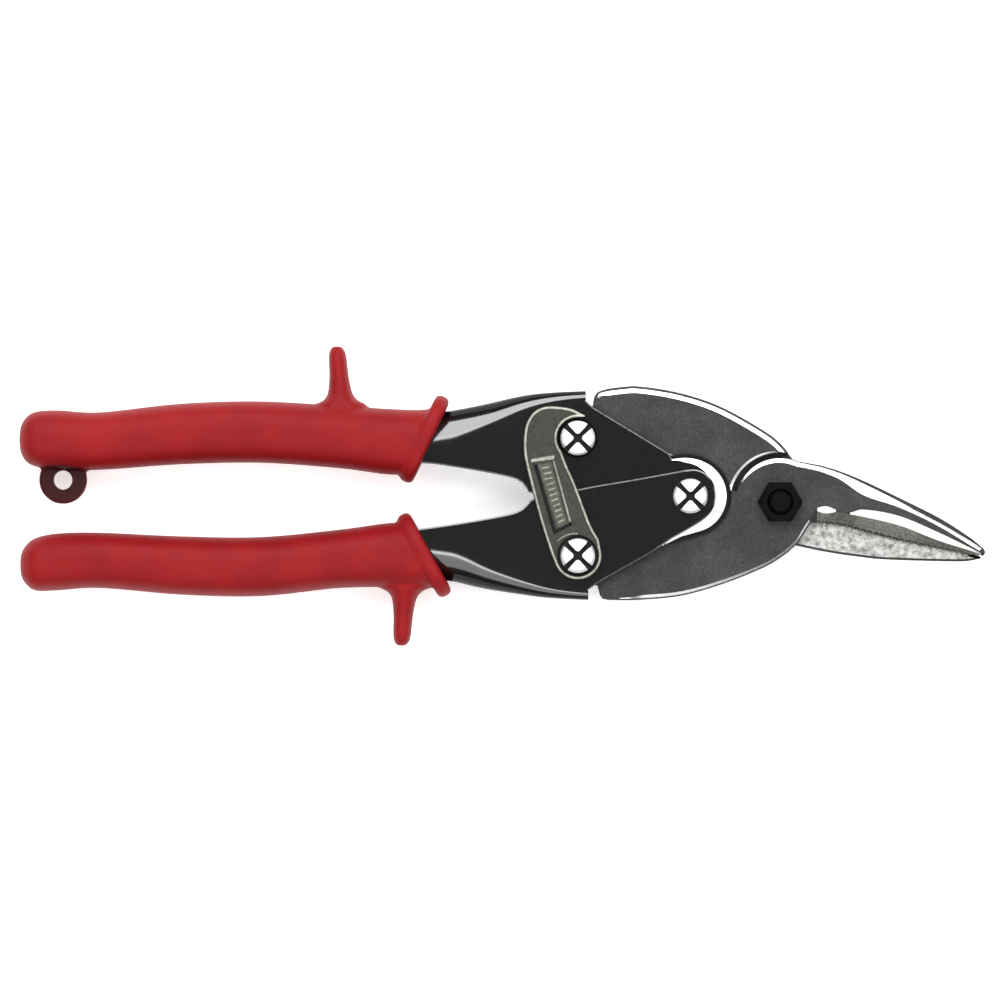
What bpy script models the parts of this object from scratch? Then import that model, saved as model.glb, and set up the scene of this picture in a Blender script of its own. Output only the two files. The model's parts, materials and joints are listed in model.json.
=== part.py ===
"""Aviation snips: compound-action, left-cutting, with a latch and moulded grips.

The snips lie flat and closed, jaws towards +X, seen from +Z.  The origin is at the
bottom centre of the closed tool.  Lengths below are in millimetres; MM turns them
into metres.  Heights are measured from the shear plane, where the two blades meet.
"""

import math

import bmesh
import bpy
from mathutils import Vector

MM = 0.001

# ---------------------------------------------------------------- driving dimensions
SHEAR_HEIGHT = 10.45        # shear plane above the lowest face
GAP = 0.3                   # clearance between touching pieces
SHEET = 1.4                 # thickness of the handle sheet
BLADE_HALF = 3.75           # half the thickness of a blade's tail
LAP_GAP = 0.15              # each blade's distance from the shear plane

HANDLE_PIVOT = (48.0, 0.0)
BLADE_PIVOT = (71.0, -1.5)
UPPER_LINK = (19.2, 14.8)
LOWER_LINK = (19.2, -15.2)

UPPER_CHEEK_IN = BLADE_HALF + GAP
UPPER_CHEEK_OUT = UPPER_CHEEK_IN + SHEET
LOWER_CHEEK_IN = UPPER_CHEEK_OUT + GAP
LOWER_CHEEK_OUT = LOWER_CHEEK_IN + SHEET
LATCH_BASE = LOWER_CHEEK_OUT + GAP
LATCH_THICKNESS = 1.5
LATCH_TOP = LATCH_BASE + LATCH_THICKNESS

LINK_BOLT_RADIUS = 2.4
LINK_HOLE_RADIUS = 2.75
LINK_HEAD_RADIUS = 4.4
LINK_HEAD_HEIGHT = 2.05
BUSH_RADIUS = 3.75
SPACER_RADIUS = 5.0
LINK_NUT_FLATS = 8.0
LINK_NUT_HEIGHT = 3.0
BLADE_BOLT_RADIUS = 3.0
BLADE_BOLT_FLATS = 10.0
BLADE_NUT_HEIGHT = 4.0
BLADE_WASHER_HEIGHT = 1.6

LAP_RADIUS = 11.4           # round end of each blade about the blade pivot
RECESS_RADIUS = 12.7        # step in the other blade that the round end turns in
EYE_RADIUS = 7.0            # eye at the end of each blade's tail
LOOSE_EYE = 0.25            # extra play in the upper link's eye

GRIP_HALF_HEIGHT = 9.6
GRIP_POWER = 3.0            # squareness of the grip's section
FLANGE_HALF_HEIGHT = 10.2
SPRING_COIL_RADIUS = 5.2
SPRING_WIRE_RADIUS = 0.6
SPRING_TURNS = 4.5
SPRING_RISE = 6.0

# ---------------------------------------------------------------- shapes by few points
UPPER_WEB = [(-117.0, 19.2), (-92.8, 19.7), (-72.3, 21.1), (-51.9, 20.6), (-36.0, 19.6), (-26.2, 19.9),
             (-13.7, 21.8), (-5.8, 23.3), (4.5, 25.6), (12.0, 26.5), (21.3, 26.9)]
UPPER_OPEN_SIDE = [(-117.0, 9.8), (-92.8, 10.3), (-72.3, 11.7), (-51.9, 11.2), (-36.0, 9.9),
                   (-26.2, 8.6), (-18.6, 8.3), (-10.9, 7.2), (-0.6, 5.4), (4.4, 3.9), (6.8, 1.0)]
LOWER_WEB = [(-117.0, -22.2), (-92.8, -21.5), (-72.3, -22.8), (-51.9, -21.9), (-36.0, -20.3),
             (-26.2, -20.4), (-13.7, -21.8), (-5.8, -23.6), (4.5, -25.2), (12.0, -26.1), (21.9, -26.6)]
LOWER_OPEN_SIDE = [(-117.0, -12.7), (-92.8, -12.1), (-72.3, -13.4), (-51.9, -12.5), (-36.0, -10.6),
                   (-26.2, -9.0), (-19.8, -8.2), (-10.9, -6.9), (-0.6, -5.1), (4.4, -3.7), (7.0, -1.2)]

# Grip stations: distance along X, centre in Y and half width.
UPPER_GRIP = [(-123.8, 14.5, 2.2), (-122.6, 14.5, 5.2), (-119.6, 14.6, 7.0), (-114.0, 14.5, 7.5),
              (-103.1, 14.1, 7.4), (-82.6, 15.9, 7.8), (-62.1, 16.4, 7.9), (-41.6, 15.1, 8.0),
              (-26.2, 13.8, 8.3), (-19.5, 14.3, 8.5)]
LOWER_GRIP = [(-123.6, -17.6, 2.2), (-122.4, -17.6, 4.9), (-119.6, -17.6, 6.8), (-114.0, -16.9, 7.3),
              (-103.1, -16.5, 7.1), (-82.6, -17.8, 7.5), (-62.1, -18.1, 7.6), (-41.6, -16.1, 7.5),
              (-26.2, -15.2, 8.2), (-19.5, -15.2, 8.4)]
# Thumb and finger guards: distance out from the grip, half width and half height.
GUARD = [(-4.0, 6.0, 6.4), (0.4, 6.0, 6.4), (1.6, 4.3, 6.0), (3.4, 3.1, 5.6), (7.5, 2.5, 5.1),
         (12.6, 2.3, 4.6), (14.6, 1.9, 4.0), (15.4, 0.9, 2.6)]


def material(name, colour, roughness, metallic):
    made = bpy.data.materials.new(name)
    made.use_nodes = True
    shader = made.node_tree.nodes["Principled BSDF"]
    shader.inputs["Base Color"].default_value = (*colour, 1.0)
    shader.inputs["Roughness"].default_value = roughness
    shader.inputs["Metallic"].default_value = metallic
    made.diffuse_color = (*colour, 1.0)
    return made


def make_object(name, mesh_builder, finish=None):
    """An object from a bmesh whose lengths are in millimetres above the shear plane."""
    for vert in mesh_builder.verts:
        x, y, z = vert.co
        vert.co = Vector((x, y, z + SHEAR_HEIGHT)) * MM
    bmesh.ops.recalc_face_normals(mesh_builder, faces=mesh_builder.faces)
    mesh = bpy.data.meshes.new(name)
    mesh_builder.to_mesh(mesh)
    mesh_builder.free()
    made = bpy.data.objects.new(name, mesh)
    bpy.context.scene.collection.objects.link(made)
    if finish:
        mesh.materials.append(finish)
    return made


def hidden(cutter):
    cutter.hide_render = True
    cutter.display_type = "WIRE"
    return cutter


def boolean(piece, other, operation):
    step = piece.modifiers.new(operation.lower(), "BOOLEAN")
    step.operation = operation
    step.solver = "EXACT"
    step.object = hidden(other)


# ---------------------------------------------------------------- outlines
def smooth(points, per_span=3):
    """A Catmull-Rom curve through the points, both ends included."""
    guide = [points[0], *points, points[-1]]
    curve = []
    for i in range(1, len(guide) - 2):
        before, start, end, after = (Vector(guide[i + k]) for k in (-1, 0, 1, 2))
        for step in range(per_span):
            t = step / per_span
            curve.append(0.5 * (2 * start + (end - before) * t
                                + (2 * before - 5 * start + 4 * end - after) * t ** 2
                                + (3 * start - before - 3 * end + after) * t ** 3))
    curve.append(Vector(points[-1]))
    return [tuple(point) for point in curve]


def arc(centre, radius, start, end, count):
    """Points on a circle from one angle to another, in degrees."""
    angles = [math.radians(start + (end - start) * i / count) for i in range(count + 1)]
    return [(centre[0] + radius * math.cos(a), centre[1] + radius * math.sin(a)) for a in angles]


def beside(path, distance):
    """The path moved to its left by a distance."""
    moved = []
    for i, point in enumerate(path):
        before = Vector(path[max(i - 1, 0)])
        after = Vector(path[min(i + 1, len(path) - 1)])
        along = (after - before).normalized()
        moved.append((point[0] - along.y * distance, point[1] + along.x * distance))
    return moved


# ---------------------------------------------------------------- solids
def prism(name, outline, low, high, finish=None, rounded=None, radius=0.0):
    """An outline pulled straight up; the edges along the rounded path get a radius."""
    shape = bmesh.new()
    base = [shape.verts.new((x, y, low)) for x, y in outline]
    top = [shape.verts.new((x, y, high)) for x, y in outline]
    shape.faces.new(base)
    shape.faces.new(top)
    count = len(outline)
    for i in range(count):
        j = (i + 1) % count
        shape.faces.new((base[i], base[j], top[j], top[i]))
    if rounded:
        wanted = {(round(x, 4), round(y, 4)) for x, y in rounded}
        edges = []
        for edge in shape.edges:
            a, b = (vert.co for vert in edge.verts)
            if a.z == b.z and all((round(p.x, 4), round(p.y, 4)) in wanted for p in (a, b)):
                edges.append(edge)
        bmesh.ops.bevel(shape, geom=edges, offset=radius, segments=2, profile=0.5, affect="EDGES")
    return make_object(name, shape, finish)


def turned(name, centre, profile, sides, finish=None, start=0.0):
    """A profile of (radius, height) pairs turned about a vertical axis; closed on itself."""
    shape = bmesh.new()
    rings = []
    for radius, height in profile:
        if radius == 0:
            rings.append([shape.verts.new((*centre, height))])
            continue
        ring = []
        for i in range(sides):
            angle = math.radians(start) + 2 * math.pi * i / sides
            ring.append(shape.verts.new((centre[0] + radius * math.cos(angle),
                                         centre[1] + radius * math.sin(angle), height)))
        rings.append(ring)
    closed = profile[0][0] > 0
    pairs = list(zip(rings, rings[1:]))
    if closed:
        pairs.append((rings[-1], rings[0]))
    for lower, upper in pairs:
        for i in range(sides):
            j = (i + 1) % sides
            loop = [lower[i % len(lower)], lower[j % len(lower)],
                    upper[j % len(upper)], upper[i % len(upper)]]
            shape.faces.new(list(dict.fromkeys(loop)))
    return make_object(name, shape, finish)


def drill(piece, centre, radius, sides=32):
    reach = 40.0
    profile = [(0, -reach), (radius, -reach), (radius, reach), (0, reach)]
    cutter = turned(piece.name + "_drill", centre, profile, sides)
    boolean(piece, cutter, "DIFFERENCE")


def loft(name, sections, finish=None):
    """A closed skin over rings of points that all have the same count."""
    shape = bmesh.new()
    rings = [[shape.verts.new(point) for point in section] for section in sections]
    for lower, upper in zip(rings, rings[1:]):
        for i in range(len(lower)):
            j = (i + 1) % len(lower)
            shape.faces.new((lower[i], lower[j], upper[j], upper[i]))
    shape.faces.new(rings[0])
    shape.faces.new(rings[-1])
    return make_object(name, shape, finish)


def rounded_section(half_width, half_height, power, count):
    """Points of a superellipse, as (across, up) pairs."""
    section = []
    for i in range(count):
        angle = 2 * math.pi * (i + 0.5) / count
        c, s = math.cos(angle), math.sin(angle)
        across = math.copysign(abs(c) ** (2 / power), c) * half_width
        up = math.copysign(abs(s) ** (2 / power), s) * half_height
        section.append((across, up))
    return section


def shade(piece):
    piece.data.shade_smooth()
    piece.data.set_sharp_from_angle(angle=math.radians(35))


# ---------------------------------------------------------------- handles
def upper_handle(finish):
    web = smooth(UPPER_WEB)
    nose = arc(HANDLE_PIVOT, 9.35, 118, -62, 16)
    outline = web + [(21.3, 24.4), (23.0, 22.8)] + nose + [(42.6, -11.2), (20.0, -3.2)]
    outline += smooth(UPPER_OPEN_SIDE)[::-1]
    piece = prism("upper_handle", outline, -UPPER_CHEEK_OUT, UPPER_CHEEK_OUT, finish, web, 1.2)
    inside = beside(web, -SHEET)
    past_web = web[-1][0] + 1.0
    hollow = [(-130.0, inside[0][1]), *inside, (past_web, inside[-1][1]), (past_web, 45.0), (75.0, 45.0),
              (75.0, -45.0), (-130.0, -45.0)]
    cutter = prism("upper_handle_hollow", hollow, -UPPER_CHEEK_IN, UPPER_CHEEK_IN)
    boolean(piece, cutter, "DIFFERENCE")
    drill(piece, HANDLE_PIVOT, LINK_HOLE_RADIUS)
    drill(piece, UPPER_LINK, LINK_HOLE_RADIUS)
    return piece


def lower_handle(finish):
    web = smooth(LOWER_WEB)
    nose = arc(HANDLE_PIVOT, 6.7, -58, 100, 14)
    outline = web + [(21.9, -24.0), (25.0, -21.8), (41.0, -13.2)] + nose + [(19.8, 1.8), (10.5, 0.4)]
    outline += smooth(LOWER_OPEN_SIDE)[::-1]
    piece = prism("lower_handle", outline, -LOWER_CHEEK_OUT, LOWER_CHEEK_OUT, finish, web, 1.2)
    inside = beside(web, SHEET)
    past_web = web[-1][0] + 1.0
    hollow = [(-130.0, inside[0][1]), *inside, (past_web, inside[-1][1]), (past_web, -45.0), (75.0, -45.0),
              (75.0, 45.0), (-130.0, 45.0)]
    cutter = prism("lower_handle_hollow", hollow, -LOWER_CHEEK_IN, LOWER_CHEEK_IN)
    boolean(piece, cutter, "DIFFERENCE")
    drill(piece, HANDLE_PIVOT, LINK_HOLE_RADIUS)
    drill(piece, LOWER_LINK, LINK_HOLE_RADIUS)
    return piece


# ---------------------------------------------------------------- grips
def grip_body(name, stations, finish):
    sections = []
    for x, y, half in smooth(stations, 2):
        height = GRIP_HALF_HEIGHT * min(1.0, (half / 7.0) ** 0.8)
        section = rounded_section(half, height, GRIP_POWER, 24)
        sections.append([(x, y + across, up) for across, up in section])
    return loft(name, sections, finish)


def add_guard(grip, foot, lean, out):
    """A tapered peg that stands out of the grip, out being +1 or -1 along Y."""
    sections = []
    for reach, half_width, half_height in GUARD:
        section = rounded_section(half_width, half_height, 2.3, 16)
        centre = (foot[0] + lean * max(reach, 0.0), foot[1] + out * reach)
        sections.append([(centre[0] + across, centre[1], up) for across, up in section])
    boolean(grip, loft(grip.name + "_guard", sections), "UNION")


def add_flange(grip, top, bottom):
    """The slanted collar at the front of the grip."""
    centre = (Vector(top) + Vector(bottom)) / 2
    along = (Vector(top) - Vector(bottom)).normalized()
    across_way = Vector((along.y, -along.x))
    half = (Vector(top) - Vector(bottom)).length / 2 + 1.6
    sections = []
    for offset, scale in ((-1.8, 0.9), (-1.2, 0.98), (0.0, 1.0), (1.2, 0.98), (1.8, 0.9)):
        ring = []
        for a, up in rounded_section(half * scale, FLANGE_HALF_HEIGHT * scale, 2.8, 24):
            spot = centre + along * a + across_way * offset
            ring.append((spot.x, spot.y, up))
        sections.append(ring)
    boolean(grip, loft(grip.name + "_flange", sections), "UNION")


def grip_socket(grip, web, open_side, half_height):
    """The socket that the handle's tang sits in, a gap wider than the tang all round."""
    outer = smooth(web)
    inner = smooth(open_side)
    side = 1 if outer[0][1] > inner[0][1] else -1
    clear = GAP + 0.05
    outline = beside(outer, side * clear) + beside(inner, -side * clear)[::-1]
    rear = outer[0][0] - clear
    outline[0] = (rear, outline[0][1])
    outline[-1] = (rear, outline[-1][1])
    cutter = prism(grip.name + "_socket", outline, -half_height - clear, half_height + clear)
    boolean(grip, cutter, "DIFFERENCE")


def upper_grip(finish):
    grip = grip_body("upper_grip", UPPER_GRIP, finish)
    add_flange(grip, (-15.7, 24.0), (-24.4, 5.2))
    add_guard(grip, (-41.4, 23.0), -0.07, 1)
    hang = (-112.7, 4.1)
    tab = arc(hang, 6.1, 155, 385, 20) + [(-106.4, 9.5), (-119.0, 9.5)]
    boolean(grip, prism("upper_grip_hang_tab", tab, -2.0, 2.0), "UNION")
    grip_socket(grip, UPPER_WEB, UPPER_OPEN_SIDE, UPPER_CHEEK_OUT)
    drill(grip, hang, 2.45, 20)
    return grip


def lower_grip(finish):
    grip = grip_body("lower_grip", LOWER_GRIP, finish)
    add_flange(grip, (-25.0, -6.2), (-15.2, -24.1))
    add_guard(grip, (-25.0, -23.0), -0.06, -1)
    grip_socket(grip, LOWER_WEB, LOWER_OPEN_SIDE, LOWER_CHEEK_OUT)
    return grip


# ---------------------------------------------------------------- blades
def upper_jaw_blade(finish):
    """Tail at the lower link, upper jaw; it lies on top at the lap."""
    eye = arc(LOWER_LINK, EYE_RADIUS, 90, 280, 14)
    shoulder = [(24.4, -23.0), (25.1, -25.6), (27.0, -26.6)]
    back = smooth([(35.2, -26.6), (45.5, -25.6), (55.7, -22.8), (65.9, -18.8), (71.1, -15.9), (75.4, -12.3),
                   (78.8, -7.2)])
    edge = smooth([(81.8, -6.5), (91.6, -8.9), (106.9, -12.5), (121.0, -15.3)], 2) + [(123.2, -15.6)]
    spine = smooth([(123.8, -14.4), (121.0, -11.6), (112.0, -5.6), (101.8, -0.5), (91.6, 4.4),
                    (81.3, 7.9)], 2)
    head = arc(BLADE_PIVOT, LAP_RADIUS, 68, 164, 12)
    belly = smooth([(57.6, -1.6), (53.6, -5.9), (48.0, -8.2), (38.0, -8.7), (26.0, -8.4)], 2)
    outline = eye + shoulder + back + edge + spine + head + belly
    piece = prism("upper_jaw_blade", outline, -BLADE_HALF, BLADE_HALF, finish)
    step = [(140.0, -45.0), (140.0, 45.0), (72.0, 45.0), *arc(BLADE_PIVOT, RECESS_RADIUS, 85, 267, 24),
            (BLADE_PIVOT[0] - 0.7, -45.0)]
    boolean(piece, prism("upper_jaw_blade_step", step, -20.0, LAP_GAP), "DIFFERENCE")
    drill(piece, BLADE_PIVOT, BLADE_BOLT_RADIUS + GAP)
    drill(piece, LOWER_LINK, BUSH_RADIUS + GAP)
    return piece


def lower_jaw_blade(finish):
    """Tail at the upper link, lower jaw; it lies underneath at the lap."""
    eye = arc(UPPER_LINK, EYE_RADIUS, 270, 80, 14)
    shoulder = [(22.7, 23.2), (23.1, 25.4), (24.7, 26.8)]
    back = smooth([(30.1, 27.9), (35.2, 28.1), (45.5, 26.4), (55.7, 23.0), (65.9, 17.4), (71.1, 13.6),
                   (75.0, 8.6), (78.6, 4.6)])
    edge = smooth([(82.4, 1.8), (91.6, -3.2), (106.9, -9.6), (121.4, -15.0)], 2)
    spine = smooth([(123.0, -16.0), (117.9, -16.9), (106.9, -16.7), (91.6, -15.6), (81.3, -14.1),
                    (75.6, -12.9)], 2)
    head = arc(BLADE_PIVOT, LAP_RADIUS, -74, -196, 14)
    belly = smooth([(57.4, 2.2), (54.4, 5.8), (48.0, 8.0), (38.0, 8.3), (26.0, 8.0)], 2)
    outline = eye + shoulder + back + edge + spine + head + belly
    piece = prism("lower_jaw_blade", outline, -BLADE_HALF, BLADE_HALF, finish)
    step = [(140.0, 45.0), (140.0, -45.0), (72.0, -45.0), *arc(BLADE_PIVOT, RECESS_RADIUS, -85, -284, 24),
            (74.1, 45.0)]
    boolean(piece, prism("lower_jaw_blade_step", step, -LAP_GAP, 20.0), "DIFFERENCE")
    drill(piece, BLADE_PIVOT, BLADE_BOLT_RADIUS + GAP)
    drill(piece, UPPER_LINK, BUSH_RADIUS + GAP + LOOSE_EYE)
    return piece


# ---------------------------------------------------------------- fasteners
def ring(name, centre, inner, outer, low, high, finish, sides=28):
    return turned(name, centre, [(inner, low), (outer, low), (outer, high), (inner, high)], sides, finish)


def link_bolt(name, centre, head_base, finish):
    """A round-headed bolt with a cross recess; its shank ends just inside the nut."""
    end = -SHEAR_HEIGHT + 0.3
    top = head_base + LINK_HEAD_HEIGHT
    profile = [(0, end), (LINK_BOLT_RADIUS, end), (LINK_BOLT_RADIUS, head_base),
               (LINK_HEAD_RADIUS, head_base),
               (LINK_HEAD_RADIUS, top - 0.9), (LINK_HEAD_RADIUS - 0.7, top - 0.25),
               (LINK_HEAD_RADIUS - 1.7, top), (0, top)]
    bolt = turned(name, centre, profile, 28, finish)
    for turn in (45, 135):
        way = Vector((math.cos(math.radians(turn)), math.sin(math.radians(turn))))
        side = Vector((-way.y, way.x))
        corners = [Vector(centre) + way * a * 3.0 + side * b * 0.55
                   for a, b in ((-1, -1), (1, -1), (1, 1), (-1, 1))]
        slot = prism(f"{name}_slot_{turn}", [tuple(c) for c in corners], top - 1.2, top + 1.0)
        boolean(bolt, slot, "DIFFERENCE")
    return bolt


def hex_nut(name, centre, flats, height, bore, low, finish):
    nut = turned(name, centre, [(0, low), (flats / math.sqrt(3), low), (flats / math.sqrt(3), low + height),
                                (0, low + height)], 6, finish)
    drill(nut, centre, bore, 24)
    return nut


def blade_bolt(finish):
    """The blades' pivot: hexagon head underneath, threaded end standing out of the nut."""
    head_low = -SHEAR_HEIGHT
    head_top = -BLADE_HALF - GAP - BLADE_WASHER_HEIGHT - GAP
    across_corners = BLADE_BOLT_FLATS / math.sqrt(3)
    bolt = turned("blade_pivot_bolt", BLADE_PIVOT, [(0, head_low), (across_corners, head_low),
                                                    (across_corners, head_top), (0, head_top)], 6, finish)
    end = BLADE_HALF + GAP + BLADE_NUT_HEIGHT + 0.8
    r = BLADE_BOLT_RADIUS
    shank_profile = [(0, head_top - 1.0), (r, head_top - 1.0), (r, end - 0.5), (r - 0.5, end), (0, end)]
    shank = turned("blade_pivot_bolt_shank", BLADE_PIVOT, shank_profile, 28)
    boolean(bolt, shank, "UNION")
    return bolt


# ---------------------------------------------------------------- spring and latch
def return_spring(finish):
    """A torsion spring: coils about the handle pivot, a leg in each handle."""
    cx, cy = HANDLE_PIVOT
    low = -SPRING_RISE / 2
    path = [(-6.0, -10.2, low), (4.0, -7.4, low), (19.0, -6.4, low), (34.0, -5.6, low)]
    steps = int(SPRING_TURNS * 12)
    for i in range(steps + 1):
        angle = math.radians(270) + 2 * math.pi * SPRING_TURNS * i / steps
        path.append((cx + SPRING_COIL_RADIUS * math.cos(angle), cy + SPRING_COIL_RADIUS * math.sin(angle),
                     low + SPRING_RISE * i / steps))
    path += [(34.0, 5.6, -low), (19.0, 6.4, -low), (4.0, 7.4, -low), (-6.0, 10.2, -low)]
    curve = bpy.data.curves.new("return_spring", "CURVE")
    curve.dimensions = "3D"
    curve.bevel_depth = SPRING_WIRE_RADIUS * MM
    curve.bevel_resolution = 1
    curve.use_fill_caps = True
    spline = curve.splines.new("POLY")
    spline.points.add(len(path) - 1)
    for point, (x, y, z) in zip(spline.points, path):
        point.co = (x * MM, y * MM, (z + SHEAR_HEIGHT) * MM, 1.0)
    curve.materials.append(finish)
    made = bpy.data.objects.new("return_spring", curve)
    bpy.context.scene.collection.objects.link(made)
    return made


def latch(finish):
    """The locking strap: turns about the lower link and hooks round the upper one."""
    foot = arc(LOWER_LINK, 6.0, 170, 370, 16)
    right = smooth([(24.0, -11.6), (22.4, -7.2), (20.6, -1.0), (19.4, 3.0), (17.6, 6.4), (15.6, 9.6)], 2)
    notch = arc(UPPER_LINK, 5.2, 218, 98, 12)
    hook = [(18.9, 21.3)]
    crown = smooth([(17.4, 22.3), (15.0, 23.0), (12.0, 23.2), (8.8, 22.2), (6.4, 19.6), (5.4, 15.6),
                    (5.4, 10.6), (6.6, 5.2), (9.4, -5.6), (11.8, -11.8)], 2)
    outline = foot + right + notch + hook + crown
    strap = prism("latch", outline, LATCH_BASE, LATCH_TOP, finish)
    drill(strap, LOWER_LINK, LINK_HOLE_RADIUS, 24)
    return strap


# ---------------------------------------------------------------- assembly
def clear_scene():
    for old in list(bpy.data.objects):
        bpy.data.objects.remove(old, do_unlink=True)


def pivot_parent(name, centre, pieces):
    """Gathers the pieces of one moving body under an empty on its joint's axis."""
    pivot = bpy.data.objects.new(name, None)
    pivot.location = (centre[0] * MM, centre[1] * MM, SHEAR_HEIGHT * MM)
    bpy.context.scene.collection.objects.link(pivot)
    bpy.context.view_layer.update()
    for piece in pieces:
        piece.parent = pivot
        piece.matrix_parent_inverse = pivot.matrix_world.inverted()


def build():
    clear_scene()
    black_paint = material("black_handle_paint", (0.012, 0.012, 0.015), 0.3, 0.2)
    vinyl = material("red_vinyl", (0.56, 0.02, 0.035), 0.45, 0.0)
    steel = material("blade_steel", (0.12, 0.12, 0.13), 0.4, 0.9)
    zinc = material("zinc_plate", (0.72, 0.72, 0.70), 0.25, 1.0)
    black_oxide = material("black_oxide", (0.02, 0.02, 0.022), 0.45, 0.8)
    nickel = material("latch_nickel", (0.36, 0.35, 0.29), 0.35, 1.0)
    wire = material("spring_wire", (0.35, 0.35, 0.36), 0.3, 1.0)
    bronze = material("bush_bronze", (0.45, 0.30, 0.14), 0.4, 1.0)

    front, back = UPPER_CHEEK_OUT + GAP, -LOWER_CHEEK_OUT - GAP
    nut_low = back - LINK_NUT_HEIGHT
    upper = [
        upper_handle(black_paint),
        upper_grip(vinyl),
        link_bolt("upper_link_bolt", UPPER_LINK, LATCH_TOP + GAP, zinc),
        hex_nut("upper_link_nut", UPPER_LINK, LINK_NUT_FLATS, LINK_NUT_HEIGHT, LINK_HOLE_RADIUS, nut_low,
                zinc),
        ring("upper_link_bush", UPPER_LINK, LINK_HOLE_RADIUS, BUSH_RADIUS, -BLADE_HALF, BLADE_HALF, bronze),
        ring("upper_link_spacer", UPPER_LINK, LINK_HOLE_RADIUS, SPACER_RADIUS, front, LOWER_CHEEK_OUT,
             black_oxide),
        ring("upper_link_washer", UPPER_LINK, LINK_HOLE_RADIUS, SPACER_RADIUS, -LOWER_CHEEK_OUT, -front,
             zinc),
    ]
    lower = [
        lower_handle(black_paint),
        lower_grip(vinyl),
        link_bolt("lower_link_bolt", LOWER_LINK, LATCH_TOP + 3 * GAP + 0.2, zinc),
        hex_nut("lower_link_nut", LOWER_LINK, LINK_NUT_FLATS, LINK_NUT_HEIGHT, LINK_HOLE_RADIUS, nut_low,
                zinc),
        ring("lower_link_bush", LOWER_LINK, LINK_HOLE_RADIUS, BUSH_RADIUS, -BLADE_HALF, BLADE_HALF, bronze),
        ring("lower_link_front_washer", LOWER_LINK, LINK_HOLE_RADIUS, SPACER_RADIUS, UPPER_CHEEK_IN,
             UPPER_CHEEK_OUT, zinc),
        ring("lower_link_back_washer", LOWER_LINK, LINK_HOLE_RADIUS, SPACER_RADIUS, -UPPER_CHEEK_OUT,
             -UPPER_CHEEK_IN, zinc),
        ring("latch_spring_washer", LOWER_LINK, LINK_HOLE_RADIUS, LINK_HEAD_RADIUS, LATCH_TOP + GAP,
             LATCH_TOP + 2 * GAP + 0.2, wire),
        link_bolt("handle_pivot_bolt", HANDLE_PIVOT, LATCH_BASE, zinc),
        hex_nut("handle_pivot_nut", HANDLE_PIVOT, LINK_NUT_FLATS, LINK_NUT_HEIGHT, LINK_HOLE_RADIUS,
                nut_low, zinc),
        ring("handle_pivot_bush", HANDLE_PIVOT, LINK_HOLE_RADIUS, BUSH_RADIUS, -BLADE_HALF, BLADE_HALF,
             bronze),
    ]
    spring = return_spring(wire)
    washer_top = -BLADE_HALF - GAP
    jaw_up = [
        upper_jaw_blade(steel),
        blade_bolt(black_oxide),
        ring("blade_pivot_washer", BLADE_PIVOT, BLADE_BOLT_RADIUS + GAP, 6.4,
             washer_top - BLADE_WASHER_HEIGHT,
             washer_top, black_oxide),
        hex_nut("blade_pivot_nut", BLADE_PIVOT, BLADE_BOLT_FLATS, BLADE_NUT_HEIGHT, BLADE_BOLT_RADIUS + GAP,
                BLADE_HALF + GAP, black_oxide),
    ]
    jaw_low = [lower_jaw_blade(steel)]
    lock = [latch(nickel)]

    for piece in upper + lower + jaw_up + jaw_low + lock:
        shade(piece)
    pivot_parent("handle_pivot", HANDLE_PIVOT, upper)
    pivot_parent("lower_link", LOWER_LINK, jaw_up)
    pivot_parent("blade_pivot", BLADE_PIVOT, jaw_low)
    pivot_parent("latch_pivot", LOWER_LINK, lock)
    pivot_parent("lower_handle_frame", HANDLE_PIVOT, lower + [spring])


build()
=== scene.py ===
"""Looks of the aviation snips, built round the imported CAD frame.

Lengths are in millimetres, heights are measured from the shear plane where the blades
meet, and to_row() turns both into the frame's metres.
"""

import json
from math import copysign, cos, pi, radians, sin, sqrt

import bmesh
import bpy
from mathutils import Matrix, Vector


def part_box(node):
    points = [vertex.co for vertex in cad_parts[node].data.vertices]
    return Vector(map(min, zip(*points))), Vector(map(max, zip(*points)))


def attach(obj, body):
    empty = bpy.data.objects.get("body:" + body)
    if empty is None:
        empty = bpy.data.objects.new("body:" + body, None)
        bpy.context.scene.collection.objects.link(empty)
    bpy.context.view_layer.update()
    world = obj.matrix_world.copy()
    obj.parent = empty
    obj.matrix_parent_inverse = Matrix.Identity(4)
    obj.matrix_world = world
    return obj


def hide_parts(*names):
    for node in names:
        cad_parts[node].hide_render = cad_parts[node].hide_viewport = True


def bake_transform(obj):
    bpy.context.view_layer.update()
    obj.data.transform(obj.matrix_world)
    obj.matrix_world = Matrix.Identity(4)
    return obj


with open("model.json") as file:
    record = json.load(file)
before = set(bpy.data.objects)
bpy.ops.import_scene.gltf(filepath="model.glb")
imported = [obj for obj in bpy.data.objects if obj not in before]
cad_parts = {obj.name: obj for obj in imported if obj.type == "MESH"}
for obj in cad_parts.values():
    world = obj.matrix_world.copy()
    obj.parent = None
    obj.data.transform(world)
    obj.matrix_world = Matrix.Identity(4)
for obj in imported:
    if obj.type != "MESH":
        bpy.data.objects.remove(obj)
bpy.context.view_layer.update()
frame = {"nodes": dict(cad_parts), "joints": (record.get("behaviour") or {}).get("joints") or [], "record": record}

MM = 0.001

# ---- places read from the frame
joints = {joint["name"]: joint for joint in frame["joints"]}


def pivot(name):
    return tuple(value / MM for value in joints[name]["pos_m"][:2])


SHEAR_HEIGHT = joints["jaws_open"]["pos_m"][2] / MM
HANDLE_PIVOT = pivot("handles_open")
BLADE_PIVOT = pivot("jaws_open")
LOWER_LINK = pivot("upper_jaw_link")


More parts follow.
